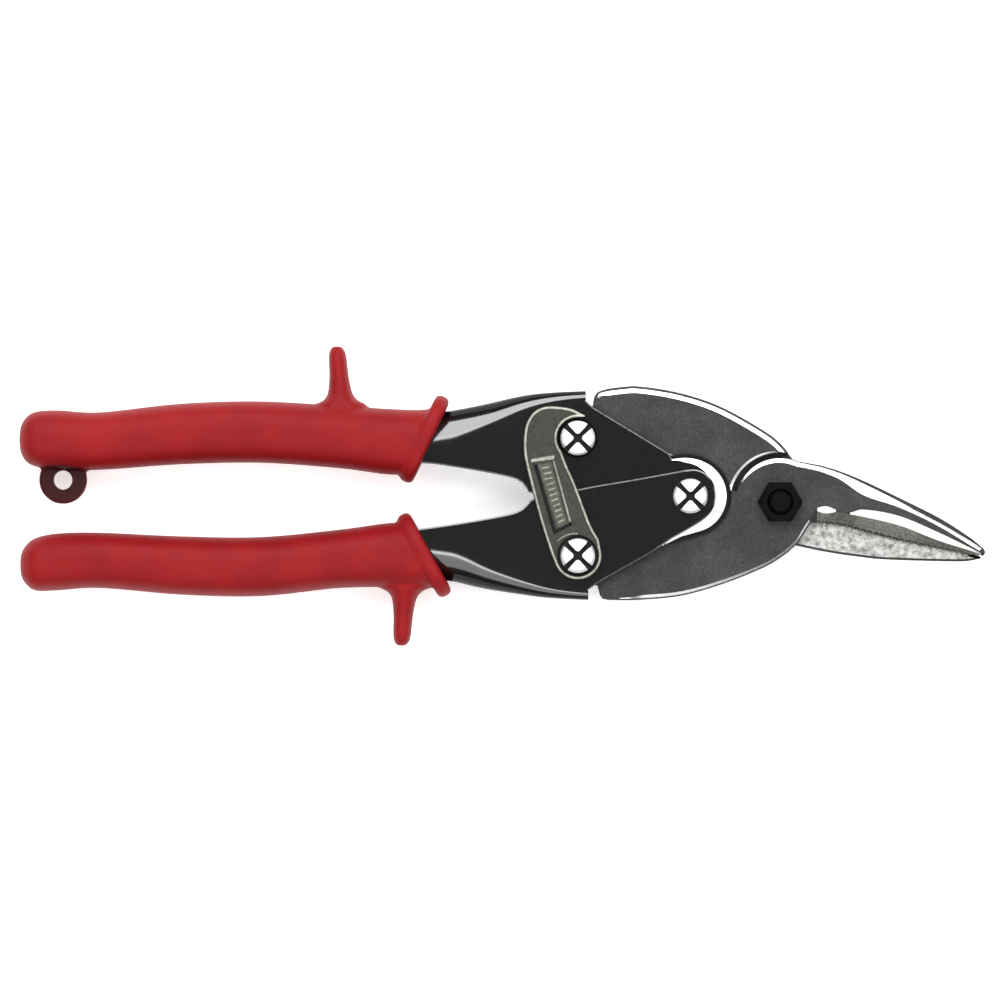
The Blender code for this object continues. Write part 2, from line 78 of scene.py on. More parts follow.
def span(node, axis=2):
    """Lowest and highest value of a CAD node along an axis, in the script's millimetres."""
    low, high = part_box(node)
    drop = SHEAR_HEIGHT if axis == 2 else 0
    return low[axis] / MM - drop, high[axis] / MM - drop


def to_row(x, y, z):
    return Vector((x, y, z + SHEAR_HEIGHT)) * MM


def middle(node):
    return tuple(sum(span(node, axis)) / 2 for axis in (0, 1))


UPPER_LINK = middle("upper_link_bush")
SHEET = 1.4
UPPER_CHEEK = span("upper_handle")[1]
LOWER_CHEEK = span("lower_handle")[1]
BLADE_HALF = span("lower_jaw_blade")[1]
LATCH_BASE, LATCH_TOP = span("latch")
GRIP_HALF_HEIGHT = 9.6
HANG_HOLE = (-112.7, 4.1)
FLANGE_HALF_HEIGHT = span("upper_grip")[1]

# ---- outlines
UPPER_WEB = [
    (-117, 19.2), (-92.8, 19.7), (-72.3, 21.1), (-51.9, 20.6), (-36, 19.6), (-26.2, 19.9), (-13.7, 21.8),
    (-5.8, 23.3), (4.5, 25.6), (12, 26.5), (21.3, 26.9)]
UPPER_OPEN = [
    (-117, 9.8), (-92.8, 10.3), (-72.3, 11.7), (-51.9, 11.2), (-36, 9.9), (-26.2, 8.6), (-18.6, 8.3),
    (-10.9, 7.2), (-0.6, 5.4), (4.4, 3.9), (6.8, 1)]
LOWER_WEB = [
    (-117, -22.2), (-92.8, -21.5), (-72.3, -22.8), (-51.9, -21.9), (-36, -20.3), (-26.2, -20.4),
    (-13.7, -21.8), (-5.8, -23.6), (4.5, -25.2), (12, -26.1), (21.9, -26.6)]
LOWER_OPEN = [
    (-117, -12.7), (-92.8, -12.1), (-72.3, -13.4), (-51.9, -12.5), (-36, -10.6), (-26.2, -9), (-19.8, -8.2),
    (-10.9, -6.9), (-0.6, -5.1), (4.4, -3.7), (7, -1.2)]
UPPER_GRIP = [
    (-123.8, 14.5, 1.4), (-123.4, 14.5, 3.6), (-122.2, 14.5, 5.6), (-119.8, 14.6, 7), (-114, 14.5, 7.5),
    (-103.1, 14.1, 7.4), (-82.6, 15.9, 7.8), (-62.1, 16.4, 7.9), (-41.6, 15.1, 8), (-26.2, 13.8, 8.3),
    (-19.5, 14.3, 8.5)]
LOWER_GRIP = [
    (-123.6, -17.6, 1.4), (-123.2, -17.6, 3.4), (-122, -17.6, 5.2), (-119.6, -17.5, 6.8), (-114, -16.9, 7.3),
    (-103.1, -16.5, 7.1), (-82.6, -17.8, 7.5), (-62.1, -18.1, 7.6), (-41.6, -16.1, 7.5), (-26.2, -15.2, 8.2),
    (-19.5, -15.2, 8.4)]
GUARD = [(-4, 7, 6.6), (0.2, 6.6, 6.6), (1.4, 4.6, 6.2), (3.2, 3.2, 5.7), (7.5, 2.5, 5.1), (12.4, 2.3, 4.6),
         (14.4, 1.9, 4), (15.4, 1, 2.8)]


def smooth(points, per_span=6):
    """A Catmull-Rom curve through the points, both ends included."""
    guide = [points[0], *points, points[-1]]
    curve = []
    for spots in zip(guide, guide[1:], guide[2:], guide[3:]):
        before, start, end, after = map(Vector, spots)
        for step in range(per_span):
            t = step / per_span
            curve.append(0.5 * (2 * start + (end - before) * t
                                + (2 * before - 5 * start + 4 * end - after) * t ** 2
                                + (3 * start - before - 3 * end + after) * t ** 3))
    curve.append(Vector(points[-1]))
    return [tuple(point) for point in curve]


def polar(centre, radius, angle):
    return (centre[0] + radius * cos(angle), centre[1] + radius * sin(angle))


def arc(centre, radius, start, end, count):
    return [polar(centre, radius, radians(start + (end - start) * i / count)) for i in range(count + 1)]


def even(points, spacing=None, count=None):
    """The path's points again, at an even spacing or in a count of equal steps."""
    path = [Vector(point) for point in points]
    lengths = [0]
    for a, b in zip(path, path[1:]):
        lengths.append(lengths[-1] + (b - a).length)
    count = count or max(2, round(lengths[-1] / spacing))
    made, k = [], 0
    for i in range(count + 1):
        want = lengths[-1] * i / count
        while k < len(path) - 2 and lengths[k + 1] < want:
            k += 1
        part = (want - lengths[k]) / max(lengths[k + 1] - lengths[k], 1e-9)
        made.append(tuple(path[k].lerp(path[k + 1], min(part, 1))))
    return made


def beside(path, distance):
    """The open path moved to its left by a distance."""
    moved = []
    for i, point in enumerate(path):
        before = Vector(path[max(i - 1, 0)])
        after = Vector(path[min(i + 1, len(path) - 1)])
        along = (after - before).normalized()
        moved.append((point[0] - along.y * distance, point[1] + along.x * distance))
    return moved


def inward_normals(loop):
    """Unit normals that point into a closed outline."""
    count = len(loop)
    area = sum(a[0] * b[1] - b[0] * a[1] for a, b in zip(loop, loop[1:] + loop[:1]))
    sign = 1 if area > 0 else -1
    normals = []
    for i in range(count):
        along = (Vector(loop[(i + 1) % count]) - Vector(loop[i - 1])).normalized()
        normals.append(Vector((-along.y, along.x)) * sign)
    return normals


def inset_point(point, normal, inset, z):
    return (point[0] + normal.x * inset, point[1] + normal.y * inset, z)


def drawn_in(outline, normals, inset, z):
    """The outline at a height, moved inwards."""
    return [inset_point(point, normal, inset, z) for point, normal in zip(outline, normals)]


def clamp(value):
    return min(max(value, 0), 1)


# ---- materials
def rgb(tone):
    """A colour, given as itself or as a grey level."""
    return tone if isinstance(tone, tuple) else (tone, tone, tone)


def shader_material(name, tone, roughness, metallic, build, **sockets):
    made = bpy.data.materials.new(name)
    made.use_nodes = True
    shader = made.node_tree.nodes["Principled BSDF"]
    shader.inputs["Base Color"].default_value = (*rgb(tone), 1)
    for socket, value in {"Roughness": roughness, "Metallic": metallic, **sockets}.items():
        shader.inputs[socket.replace("_", " ")].default_value = value
    build(made.node_tree, shader)
    return made


def node(tree, kind, links=(), **values):
    """Adds a node, sets its inputs or properties by name, and links (input, socket) pairs."""
    made = tree.nodes.new(kind)
    for name, value in values.items():
        label = name.replace("_", " ")
        if label in made.inputs:
            made.inputs[label].default_value = value
        else:
            setattr(made, name, value)
    for name, socket in links:
        tree.links.new(socket, made.inputs[name])
    return made


def drive(tree, shader, **sockets):
    """Links sockets to the shader's inputs by name."""
    for name, socket in sockets.items():
        tree.links.new(socket, shader.inputs[name.replace("_", " ")])


def place(tree, scale=(1, 1, 1), turn=(0, 0, 0)):
    """Object coordinates, scaled and turned, to place a texture."""
    where = node(tree, "ShaderNodeTexCoord").outputs["Object"]
    mapping = node(tree, "ShaderNodeMapping", links=[("Vector", where)], Scale=scale, Rotation=turn)
    return mapping.outputs["Vector"]


def noise(tree, where, scale, detail=4, roughness=0.55):
    made = node(tree, "ShaderNodeTexNoise", links=[("Vector", where)], Scale=scale, Detail=detail,
                Roughness=roughness)
    return made.outputs["Fac"]


def ramp(tree, value, stops):
    made = node(tree, "ShaderNodeValToRGB", links=[("Fac", value)])
    elements = made.color_ramp.elements
    while len(elements) < len(stops):
        elements.new(0.5)
    for element, (position, tone) in zip(elements, stops):
        element.position = position
        element.color = (*rgb(tone), 1)
    return made.outputs["Color"]


def spread(tree, value, low, high, first=0, last=1):
    """A value from first to last, mapped to a range from low to high."""
    made = node(tree, "ShaderNodeMapRange", links=[("Value", value)], From_Min=first, From_Max=last,
                To_Min=low, To_Max=high)
    return made.outputs["Result"]


def bump(tree, shader, height, strength, distance, first=None):
    links = [("Height", height)] + ([("Normal", first)] if first else [])
    made = node(tree, "ShaderNodeBump", links=links, Strength=strength, Distance=distance)
    tree.links.new(made.outputs["Normal"], shader.inputs["Normal"])
    return made.outputs["Normal"]


def vinyl_look(tree, shader):
    """Red vinyl, with painted shade that darkens it round the hang hole."""
    where = place(tree)
    colour = ramp(tree, noise(tree, where, 90, 3),
                  [(0.3, (0.215, 0.004, 0.006)), (0.7, (0.275, 0.006, 0.008))])
    spot = node(tree, "ShaderNodeTexCoord").outputs["Object"]
    centre = node(tree, "ShaderNodeVectorMath", links=[(0, spot)], operation="DISTANCE")
    centre.inputs[1].default_value = to_row(*HANG_HOLE, 0)
    # painted shade: towards the hang hole the vinyl is mixed to a near-black red, as if the thin tab lay in shadow
    ring = spread(tree, centre.outputs["Value"], 0, 1, 0.0058, 0.0085)
    hang_shade_tint = node(tree, "ShaderNodeMix", links=[(0, ring), (7, colour)], data_type="RGBA")
    hang_shade_tint.inputs[6].default_value = (0.03, 0.002, 0.003, 1)
    drive(tree, shader, Base_Color=hang_shade_tint.outputs[2],
          Roughness=spread(tree, noise(tree, where, 400), 0.48, 0.62))
    first = bump(tree, shader, noise(tree, where, 2600, 2), 0.1, FINE_BUMP)
    bump(tree, shader, noise(tree, where, 200, 2), 0.1, 2 * FINE_BUMP, first)


def paint_look(tree, shader):
    """Black paint, glossy where it is seen square on."""
    where = place(tree)
    slant = node(tree, "ShaderNodeLayerWeight", Blend=0.5)
    drive(tree, shader, Roughness=spread(tree, noise(tree, where, 300), 0.16, 0.24),
          Base_Color=ramp(tree, noise(tree, where, 900, 6), [(0.35, 0.001), (0.75, 0.003)]),
          Coat_Weight=spread(tree, slant.outputs["Facing"], 1, 0.08, 0.16, 0.34))
    bump(tree, shader, noise(tree, where, 1400, 2), 0.08, FINE_BUMP)


def phosphate_look(tree, shader):
    where = place(tree)
    fine = noise(tree, where, 1500, 6, 0.7)
    broad = noise(tree, where, 120, 3)
    mixed = node(tree, "ShaderNodeMix", links=[("A", fine), ("B", broad)], data_type="FLOAT", Factor=0.4)
    drive(tree, shader, Roughness=spread(tree, fine, 0.45, 0.65),
          Base_Color=ramp(tree, mixed.outputs["Result"], [
              (0.36, (0.016, 0.016, 0.015)), (0.5, (0.03, 0.03, 0.028)), (0.64, (0.054, 0.054, 0.051))]))
    bump(tree, shader, fine, 0.3, FINE_BUMP)


def floor_look(tree, shader):
    drive(tree, shader, Base_Color=ramp(tree, noise(tree, place(tree), 4), [(0.3, 0.9405), (0.7, 0.95)]))


def ground(name, tone, roughness, metallic, low, high, rough_low, rough_high, turn, scale, grain_scale=1300):
    """Ground steel: short parallel scratches over a finer grain."""
    def build(tree, shader):
        lines = noise(tree, place(tree, (1, 0.12, 1), (0, 0, radians(turn))), scale, 4, 0.6)
        grain = noise(tree, place(tree), grain_scale, 5, 0.7)
        drive(tree, shader, Base_Color=ramp(tree, grain, [(0.34, low), (0.62, high)]),
              Roughness=spread(tree, lines, rough_low, rough_high))
        bump(tree, shader, lines, 0.25, FINE_BUMP)
    return shader_material(name, tone, roughness, metallic, build)


def plated(name, tone, roughness, metallic, low, high, rough_low, rough_high, specular=0.5):
    """A plated, oxidised or drawn surface: a fine grain between two tones."""
    def build(tree, shader):
        grain = noise(tree, place(tree), 900, 5, 0.65)
        drive(tree, shader, Base_Color=ramp(tree, grain, [(0.3, low), (0.7, high)]),
              Roughness=spread(tree, grain, rough_low, rough_high))
        bump(tree, shader, noise(tree, place(tree), 2200, 3), 0.15, FINE_BUMP)
    return shader_material(name, tone, roughness, metallic, build, Specular_IOR_Level=specular)


FINE_BUMP = 0.0001
VINYL = shader_material("red_vinyl", (0.255, 0.012, 0.016), 0.48, 0, vinyl_look, Specular_IOR_Level=0.16)
PAINT = shader_material("black_paint", 0.003, 0.24, 0, paint_look, Specular_IOR_Level=0.06,
                        Coat_Roughness=0.12, Coat_IOR=2.1)
PHOSPHATE = shader_material("phosphate", 0.06, 0.5, 0.25, phosphate_look, Specular_IOR_Level=0.35)
GROUND = ground("ground_steel", 0.8, 0.3, 1, (0.72, 0.72, 0.71), (0.92, 0.92, 0.91), 0.24, 0.38, 24, 2400)
LAP = ground("lapped_steel", 0.6, 0.5, 0.75, (0.13, 0.13, 0.124), (0.54, 0.54, 0.52), 0.42, 0.6, -20, 900,
             750)
FLANK = ground("cutting_flank", (0.3, 0.3, 0.27), 0.4, 0.7, (0.09, 0.094, 0.078), (0.2, 0.205, 0.18),
               0.36, 0.5, 20, 2000)
BARE = plated("bare_edge", 0.6, 0.3, 1, (0.65, 0.65, 0.64), (0.88, 0.88, 0.87), 0.25, 0.36)
WORN = plated("worn_edge", 0.4, 0.4, 1, 0.05, 0.13, 0.32, 0.5)
ZINC = plated("bright_zinc", 0.9, 0.3, 0.85, (0.8, 0.8, 0.79), (0.95, 0.95, 0.94), 0.3, 0.45)
# painted shadow: a near-black finish for the insides of the bolts' cross slots and the latch's well and grooves
RECESS_SHADOW = plated("recess_shadow", 0.01, 0.7, 0, 0.004, (0.012, 0.012, 0.011), 0.6, 0.8, 0.2)
OXIDE = plated("black_oxide", 0.005, 0.5, 0, 0.001, 0.004, 0.45, 0.6, 0.05)
NICKEL = plated("latch_nickel", (0.1, 0.1, 0.08), 0.4, 0.4, (0.02, 0.0205, 0.016), (0.046, 0.046, 0.036),
                0.38, 0.5)
PANEL = plated("latch_panel", (0.2, 0.2, 0.16), 0.4, 0.5, (0.045, 0.045, 0.033), (0.11, 0.11, 0.086),
               0.35, 0.5)
# painted highlight: a much lighter nickel for the latch's rolled rim, bars, arch and ribs, where light catches
# their edges
NICKEL_HIGHLIGHT = plated("latch_edge_highlight", (0.5, 0.5, 0.43), 0.35, 0.7, (0.2, 0.2, 0.165), (0.48, 0.475, 0.41),
                     0.3, 0.45)
WIRE = plated("spring_wire", 0.4, 0.3, 1, (0.25, 0.25, 0.26), 0.5, 0.2, 0.35)
BRONZE = plated("bush_bronze", (0.45, 0.3, 0.14), 0.35, 1, (0.32, 0.2, 0.09), (0.55, 0.38, 0.2), 0.25, 0.4)
BLADE_FINISHES = [PHOSPHATE, GROUND, FLANK, LAP]
LATCH_FINISHES = [NICKEL, NICKEL_HIGHLIGHT, RECESS_SHADOW, PANEL]


# ---- mesh making
def link(name, data):
    """Puts data into the scene as an object."""
    made = bpy.data.objects.new(name, data)
    bpy.context.scene.collection.objects.link(made)
    return made


def to_object(name, shape, finishes):
    mesh = bpy.data.meshes.new(name)
    shape.to_mesh(mesh)
    shape.free()
    for finish in finishes:
        mesh.materials.append(finish)
    return link(name, mesh)


def resharpen(piece, angle):
    piece.data.shade_smooth()
    piece.data.set_sharp_from_angle(angle=radians(angle))


def finish_mesh(name, shape, finishes, angle=30):
    """Turns a bmesh in millimetres into an object of the scene."""
    for vert in shape.verts:
        vert.co = to_row(*vert.co)
    bmesh.ops.recalc_face_normals(shape, faces=shape.faces)
    made = to_object(name, shape, finishes)
    resharpen(made, angle)
    return made


def skin_loops(shape, loops, kinds, cap_kinds):
    """Skins closed loops of equal counts one after another, with a face index for each band.

    An end whose cap kind is None stays open.
    """
    rings = [[shape.verts.new(point) for point in loop] for loop in loops]
    for lower, upper, kind in zip(rings, rings[1:], kinds):
        for i in range(len(lower)):
            j = (i + 1) % len(lower)
            face = shape.faces.new((lower[i], lower[j], upper[j], upper[i]))
            face.material_index = kind(i) if callable(kind) else kind
    for ring, kind in zip((rings[0], rings[-1]), cap_kinds):
        if kind is not None:
            shape.faces.new(ring).material_index = kind
    return rings


def tidy(shape, distance=1e-4):
    bmesh.ops.remove_doubles(shape, verts=shape.verts, dist=distance)
    bmesh.ops.dissolve_degenerate(shape, edges=shape.edges, dist=distance)


def bake_modifiers(piece):
    """Replaces the piece's mesh by what its modifiers make of it."""
    bpy.context.view_layer.update()
    graph = bpy.context.evaluated_depsgraph_get()
    mesh = bpy.data.meshes.new_from_object(piece.evaluated_get(graph), depsgraph=graph)
    piece.modifiers.clear()
    piece.data = mesh


def cut(piece, cutter):
    step = piece.modifiers.new("cut", "BOOLEAN")
    step.operation = "DIFFERENCE"
    step.solver = "EXACT"
    step.object = cutter
    bake_modifiers(piece)
    bpy.data.objects.remove(cutter, do_unlink=True)


def weld(piece):
    """Joins the points that cutting left in one place."""
    shape = bmesh.new()
    shape.from_mesh(piece.data)
    tidy(shape, 1e-6)
    shape.to_mesh(piece.data)
    shape.free()


def prism(name, outline, low, high, finishes=(), kind=0):
    shape = bmesh.new()
    skin_loops(shape, [[(x, y, z) for x, y in outline] for z in (low, high)], [kind], (kind, kind))
    return finish_mesh(name, shape, finishes)


def turned(name, centre, profile, sides, finishes=(), kind=0, angle=30, bored=False):
    """A profile turned about its axis, from the axis back to it, or closed on itself round a bore.

    A step is a pair (radius, height), or a function that gives the pair for an angle.
    """
    shape = bmesh.new()
    turns = [2 * pi * i / sides for i in range(sides)]
    rings = []
    for step in profile:
        points = [step(a) if callable(step) else step for a in turns]
        if points[0][0] == 0:
            rings.append([shape.verts.new((*centre, points[0][1]))])
        else:
            rings.append([shape.verts.new((*polar(centre, reach, a), z))
                          for a, (reach, z) in zip(turns, points)])
    for lower, upper in zip(rings, rings[1:] + (rings[:1] if bored else [])):
        for i in range(sides):
            j = (i + 1) % sides
            loop = [ring[k % len(ring)] for ring, k in ((lower, i), (lower, j), (upper, j), (upper, i))]
            shape.faces.new(list(dict.fromkeys(loop))).material_index = kind
    return finish_mesh(name, shape, finishes, angle)


def loft(name, sections, finishes=()):
    shape = bmesh.new()
    skin_loops(shape, sections, [0] * (len(sections) - 1), (0, 0))
    return finish_mesh(name, shape, finishes)


def rounded_section(half_width, half_height, power, count):
    """Points of a superellipse, as (across, up) pairs."""
    section = []
    for i in range(count):
        angle = 2 * pi * (i + 0.5) / count
        c, s = cos(angle), sin(angle)
        section.append((copysign(abs(c) ** (2 / power), c) * half_width,
                        copysign(abs(s) ** (2 / power), s) * half_height))
    return section


def drill(piece, centre, radius, reach=40, sides=48):
    cut(piece, turned("drill", centre, [(0, -reach), (radius, -reach), (radius, reach), (0, reach)], sides))


# ---- handles
EDGE_WIDTH, EDGE_DROP = 0.34, 0.12
WORN_FROM = 9
BEND_STEPS = 14


def bend_profile(bend, top, steps):
    """(inset, height) pairs round a channel's closed side, from one cheek to the other."""
    fall = min(bend, top - 0.25)
    turns = [pi / 2 * k / steps for k in range(steps + 1)]
    upper = [(bend * (1 - sin(a)), top - fall * (1 - cos(a))) for a in turns]
    return upper + [(inset, -z) for inset, z in reversed(upper)]


def channel_skin(web, edge, levels, top, bends):
    """Points of one skin of a U-channel and the faces that join them.

    web runs from the rear to the front along the closed side; edge goes on from there
    round the nose and back along the open side.  levels holds for each point of edge its
    (inset, drop) pairs from the cut edge inwards.  Faces are (indices, level or None).
    """
    points, faces = [], []
    rows = 2 * (BEND_STEPS + 1)
    side = 1 if web[0][1] < 0 else -1
    within = beside(web, side * 0.05)
    for i, bend in enumerate(bends):
        inward = (Vector(within[i]) - Vector(web[i])).normalized()
        for inset, z in bend_profile(bend, top, BEND_STEPS):
            spot = Vector(web[i]) + inward * inset
            points.append((spot.x, spot.y, z))
    for i in range(len(web) - 1):
        for k in range(rows - 1):
            a = i * rows + k
            faces.append(((a, a + 1, a + rows + 1, a + rows), None))
    normals = inward_normals(list(web) + list(edge))[len(web):]
    for sign in (1, -1):
        bands = []
        for level in range(len(levels[0])):
            band = []
            for point, normal, steps in zip(edge, normals, levels):
                inset, drop = steps[level]
                points.append(inset_point(point, normal, inset, sign * (top - drop)))
                band.append(len(points) - 1)
            bands.append(band)
        row = 0 if sign > 0 else rows - 1
        web_side = [i * rows + row for i in range(len(web))]
        faces.append((tuple(web_side + bands[-1]), None))
        for level, (outer, inner) in enumerate(zip(bands, bands[1:])):
            for k in range(len(edge) - 1):
                faces.append(((outer[k], outer[k + 1], inner[k + 1], inner[k]), level))
            faces.append(((web_side[-1], outer[0], inner[0]), level))
            faces.append(((outer[-1], web_side[0], inner[-1]), level))
    return points, faces


def channel(name, web, edge, levels, top, bends):
    """A pressed U-channel: an outer skin, an inner skin and the sheet's cut edge between them."""
    side = 1 if web[0][1] < 0 else -1
    outer_points, faces = channel_skin(web, edge, levels, top, bends)
    flat = [[(0.01 * k, 0) for k in range(len(levels[0]))] for _ in edge]
    tight = [max(bend - SHEET, 0.5) for bend in bends]
    inner_points, _ = channel_skin(beside(web, side * SHEET), edge, flat, top - SHEET, tight)
    shape = bmesh.new()
    outer = [shape.verts.new(point) for point in outer_points]
    inner = [shape.verts.new(point) for point in inner_points]
    counts = {}
    for indices, level in faces:
        face = shape.faces.new([outer[i] for i in indices])
        worn = level is not None and outer[indices[0]].co.x > WORN_FROM
        face.material_index = (1, 0, 2)[level] if worn else 0
        shape.faces.new([inner[i] for i in indices])
        for a, b in zip(indices, indices[1:] + indices[:1]):
            counts[frozenset((a, b))] = counts.get(frozenset((a, b)), 0) + 1
    for pair, count in counts.items():
        if count == 1:
            a, b = tuple(pair)
            shape.faces.new((outer[a], outer[b], inner[b], inner[a])).material_index = 0
    tidy(shape)
    return finish_mesh(name, shape, [PAINT, WORN, BARE], 13)


def bend_radii(web):
    """The bend is wide under the grip and tight at the front."""
    radii = []
    for x, _ in web:
        t = clamp((x + 20) / 41)
        radii.append(min(1.9 + 8.3 * (1 - t) ** 1.6, 8.2))
    return radii


def repaint(piece, where):
    """Paints over the worn edge where the test holds; round the upper handle's nose this black rim is painted
    shadow.
    """
    for face in piece.data.polygons:
        x, y, _ = face.center / MM
        if face.material_index == 1 and where(x, y):
            face.material_index = 0
    return piece


def upper_handle():
    web = even(smooth(UPPER_WEB), 1.5)
    front = even([(21.3, 24.4), (23, 22.8), (42.6, 10.9)], 1.5)
    nose = []
    for angle in range(113, -70, -3):
        reach = 10.5 + 0.9 * (max(angle - 60, 0) / 53) ** 2
        nose.append(polar(HANDLE_PIVOT, reach, radians(angle)))
    chin = even([(50.8, -10.1), (41, -12.9)], 0.8)
    under = [(38.6, -10.6), (20, -3.2)]
    back = even(smooth(UPPER_OPEN), 1.5)[::-1]
    edge = front + nose + chin + under + back
    plain = [(0, EDGE_DROP), (EDGE_WIDTH, 0), (EDGE_WIDTH, 0), (EDGE_WIDTH, 0)]
    levels = [plain] * len(edge)
    first, last = len(front), len(front) + len(nose) + len(chin)
    for i in range(first, last):
        t = (i - first) / (last - first - 1)
        grow = clamp((t - 0.05) / 0.4)
        tucked = clamp((edge[i][0] - 40.2) / 1.8) if edge[i][1] < 0 else 1
        band = (1.1 + 2 * grow * grow * (3 - 2 * grow)) * min(1, t / 0.1 + 0.2) * tucked
        drop = 0.29 * band
        # painted shadow: the flat black lip, reaching past the cheek's nose, stands for the dark ring of shade
        # outside the bright band
        shadow_lip = 0.2 + 0.95 * (clamp((edge[i][0] - 41) / 5) if edge[i][1] < 0 else 1)
        levels[i] = [(0, drop + 0.2), (0.2, drop), (shadow_lip, drop), (shadow_lip + band, 0)]
    made = channel("upper_handle_shell", web, edge, levels, UPPER_CHEEK, bend_radii(web))
    # the nose's outer rim is painted black as well, as part of the same painted shadow ring
    return repaint(made, lambda x, y: x > 42.9 or y < -8)


def lower_handle():
    web = even(smooth(LOWER_WEB), 1.5)
    front = even([(21.9, -24), (25, -21.8), (37.8, -14.6), (43.3, -10.9)], 1.5)
    nose = even(smooth([(43.3, -10.9), (48.9, -7.7), (52.6, -5), (54.4, -1.6), (54.3, 2.2), (52.6, 5.2),
                        (49.8, 6.7), (46.6, 6.6)]), 0.6)[1:]
    under = [(35.2, 4.5), (25, 2.8), (19.8, 1.8), (10.5, 0.4)]
    back = even(smooth(LOWER_OPEN), 1.5)[::-1]
    edge = front + nose + under + back
    levels = [[(0, EDGE_DROP), (EDGE_WIDTH, 0)]] * len(edge)
    made = channel("lower_handle_shell", web, edge, levels, LOWER_CHEEK, bend_radii(web))
    return repaint(made, lambda x, y: x > (46.5 if y > 3 else 40))


# ---- grips
GRIP_POWER = 2.7
GRIP_VOXEL = 0.00045
FLANGE_STEPS = 10


def grip_flange(name, top, bottom):
    """The slanted collar at the front of a grip, thicker along its rim."""
    centre = (Vector(top) + Vector(bottom)) / 2
    along = (Vector(top) - Vector(bottom)).normalized()
    across_way = Vector((along.y, -along.x))
    half = (Vector(top) - Vector(bottom)).length / 2 + 1.7
    sections = []
    for k in range(FLANGE_STEPS + 1):
        turn = pi * k / FLANGE_STEPS
        offset = -1.9 * cos(turn)
        scale = 1 - 0.13 * (1 - sin(turn)) ** 1.5
        ring = []
        for a, up in rounded_section(half * scale, FLANGE_HALF_HEIGHT * scale, 2.8, 72):
            spot = centre + along * a + across_way * offset
            ring.append((spot.x, spot.y, up))
        sections.append(ring)
    return loft(name, sections)


def grip_guard(name, foot, lean, out):
    sections = []
    for reach, half_width, half_height in smooth(GUARD, 4):
        centre = (foot[0] + lean * max(reach, 0), foot[1] + out * reach)
        sections.append([(centre[0] + across, centre[1], up)
                         for across, up in rounded_section(half_width, half_height, 2.3, 40)])
    return loft(name, sections)


def moulded(name, lumps):
    """Joins the lumps into one moulded skin with soft fillets where they meet."""
    shape = bmesh.new()
    for lump in lumps:
        shape.from_mesh(lump.data)
        bpy.data.objects.remove(lump, do_unlink=True)
    made = to_object(name, shape, [VINYL])
    melt = made.modifiers.new("melt", "REMESH")
    melt.mode = "VOXEL"
    melt.voxel_size = GRIP_VOXEL
    soften = made.modifiers.new("soften", "SMOOTH")
    soften.factor = 0.5
    soften.iterations = 8
    bake_modifiers(made)
    return made


def height_at(path, x):
    """The y of a left-to-right path at x."""
    for a, b in zip(path, path[1:]):
        if a[0] <= x <= b[0]:
            return a[1] + (b[1] - a[1]) * (x - a[0]) / (b[0] - a[0])
    return path[0][1] if x < path[0][0] else path[-1][1]


def grip_socket(grip, web, open_side, half_height):
    """Opens the grip's front round the handle, following the handle's rounded bends."""
    outer = even(smooth(web), 2)
    inner = even(smooth(open_side), 2)
    side = 1 if outer[0][1] > inner[0][1] else -1
    clear = 0.15
    top = half_height + clear
    sections = []
    for (x, y), bend in zip(outer, bend_radii(outer)):
        near, away = y + side * clear, height_at(inner, x) - side * clear
        ring = [(near - side * inset, z) for inset, z in bend_profile(bend, top, 10)]
        sections.append([(x, across, z) for across, z in ring + [(away, -top), (away, top)]])
    cut(grip, loft(grip.name + "_socket", sections))


def grip(name, stations, flange, guard_foot, lean, out, web, open_side, cheek, hang=None):
    (top_x, top_y), (foot_x, foot_y) = flange
    slope = (top_x - foot_x) / (top_y - foot_y)
    sections = []
    for x, y, half in smooth(stations, 8):
        front = top_x + (y - top_y) * slope
        if x > front - 0.5:
            break
        height = GRIP_HALF_HEIGHT * min(1, (half / 7) ** 0.8)
        t = clamp((x + 45) / 25)
        shear = slope * t * t * (3 - 2 * t)
        sections.append([(x + shear * across, y + across, up)
                         for across, up in rounded_section(half, height, GRIP_POWER, 72)])
    lumps = [loft("body", sections), grip_flange("flange", *flange),
             grip_guard("guard", guard_foot, lean, out)]
    if hang:
        tab = arc(hang, 6.1, 155, 385, 40) + [(hang[0] + 6.3, hang[1] + 5.4), (hang[0] - 6.3, hang[1] + 5.4)]
        lumps.append(prism("tab", tab, -2.2, 2.2))
    made = moulded(name, lumps)
    grip_socket(made, web, open_side, cheek)
    if hang:
        drill(made, hang, 2.45, 20, 40)
    resharpen(made, 40)
    return made


# ---- blades
LAP_RADIUS = 11.4
RECESS_RADIUS = 12.7
TOOTH_PITCH = 1.7
TOOTH_DEPTH = 0.42
SLOT_FROM, SLOT_TO = 85.6, 89
BLADE_SHARP = 12
DARK, BRIGHT, DULL, LAPPED = range(4)
RIM_SHARES = (0.3, 0.45, 0.6, 0.42, 0.24, 0.26, 0.3)


def bevelled(points, width=0.3, drop=0.3, rim=0, bright=False):
    """Outline rows with a bevel on both faces.

    A row holds a point, three (inset, rise) steps of its back, four steps of its front from
    the edge inwards, and the finishes of the three bands between those.  A front step is an
    (inset, drop) pair, or (x, y, z) with z above the blade's middle.
    """
    kind = BRIGHT if bright else DARK
    rows = []
    for i, point in enumerate(points):
        t = i / max(len(points) - 1, 1)
        wide = width(t) if callable(width) else width
        deep = drop(t) if callable(drop) else drop
        back = ((wide, 0), (rim, deep), (0, deep + 1.3 * rim))
        rows.append((point, back, (*back[::-1], back[0]), (DARK if rim else kind, kind, kind)))
    return rows


def stepped(fronts, bands):
    """Outline rows from the four steps of each point; bands may differ from row to row."""
    rows = []
    for i, front in enumerate(fronts):
        ease = min(0.25, max(0.04, (124.5 - front[0][0]) * 0.05))
        rows.append((front[0][:2], ((ease, 0), (0, ease), (0, ease)), front,
                     bands[i] if isinstance(bands, list) else bands))
    return rows


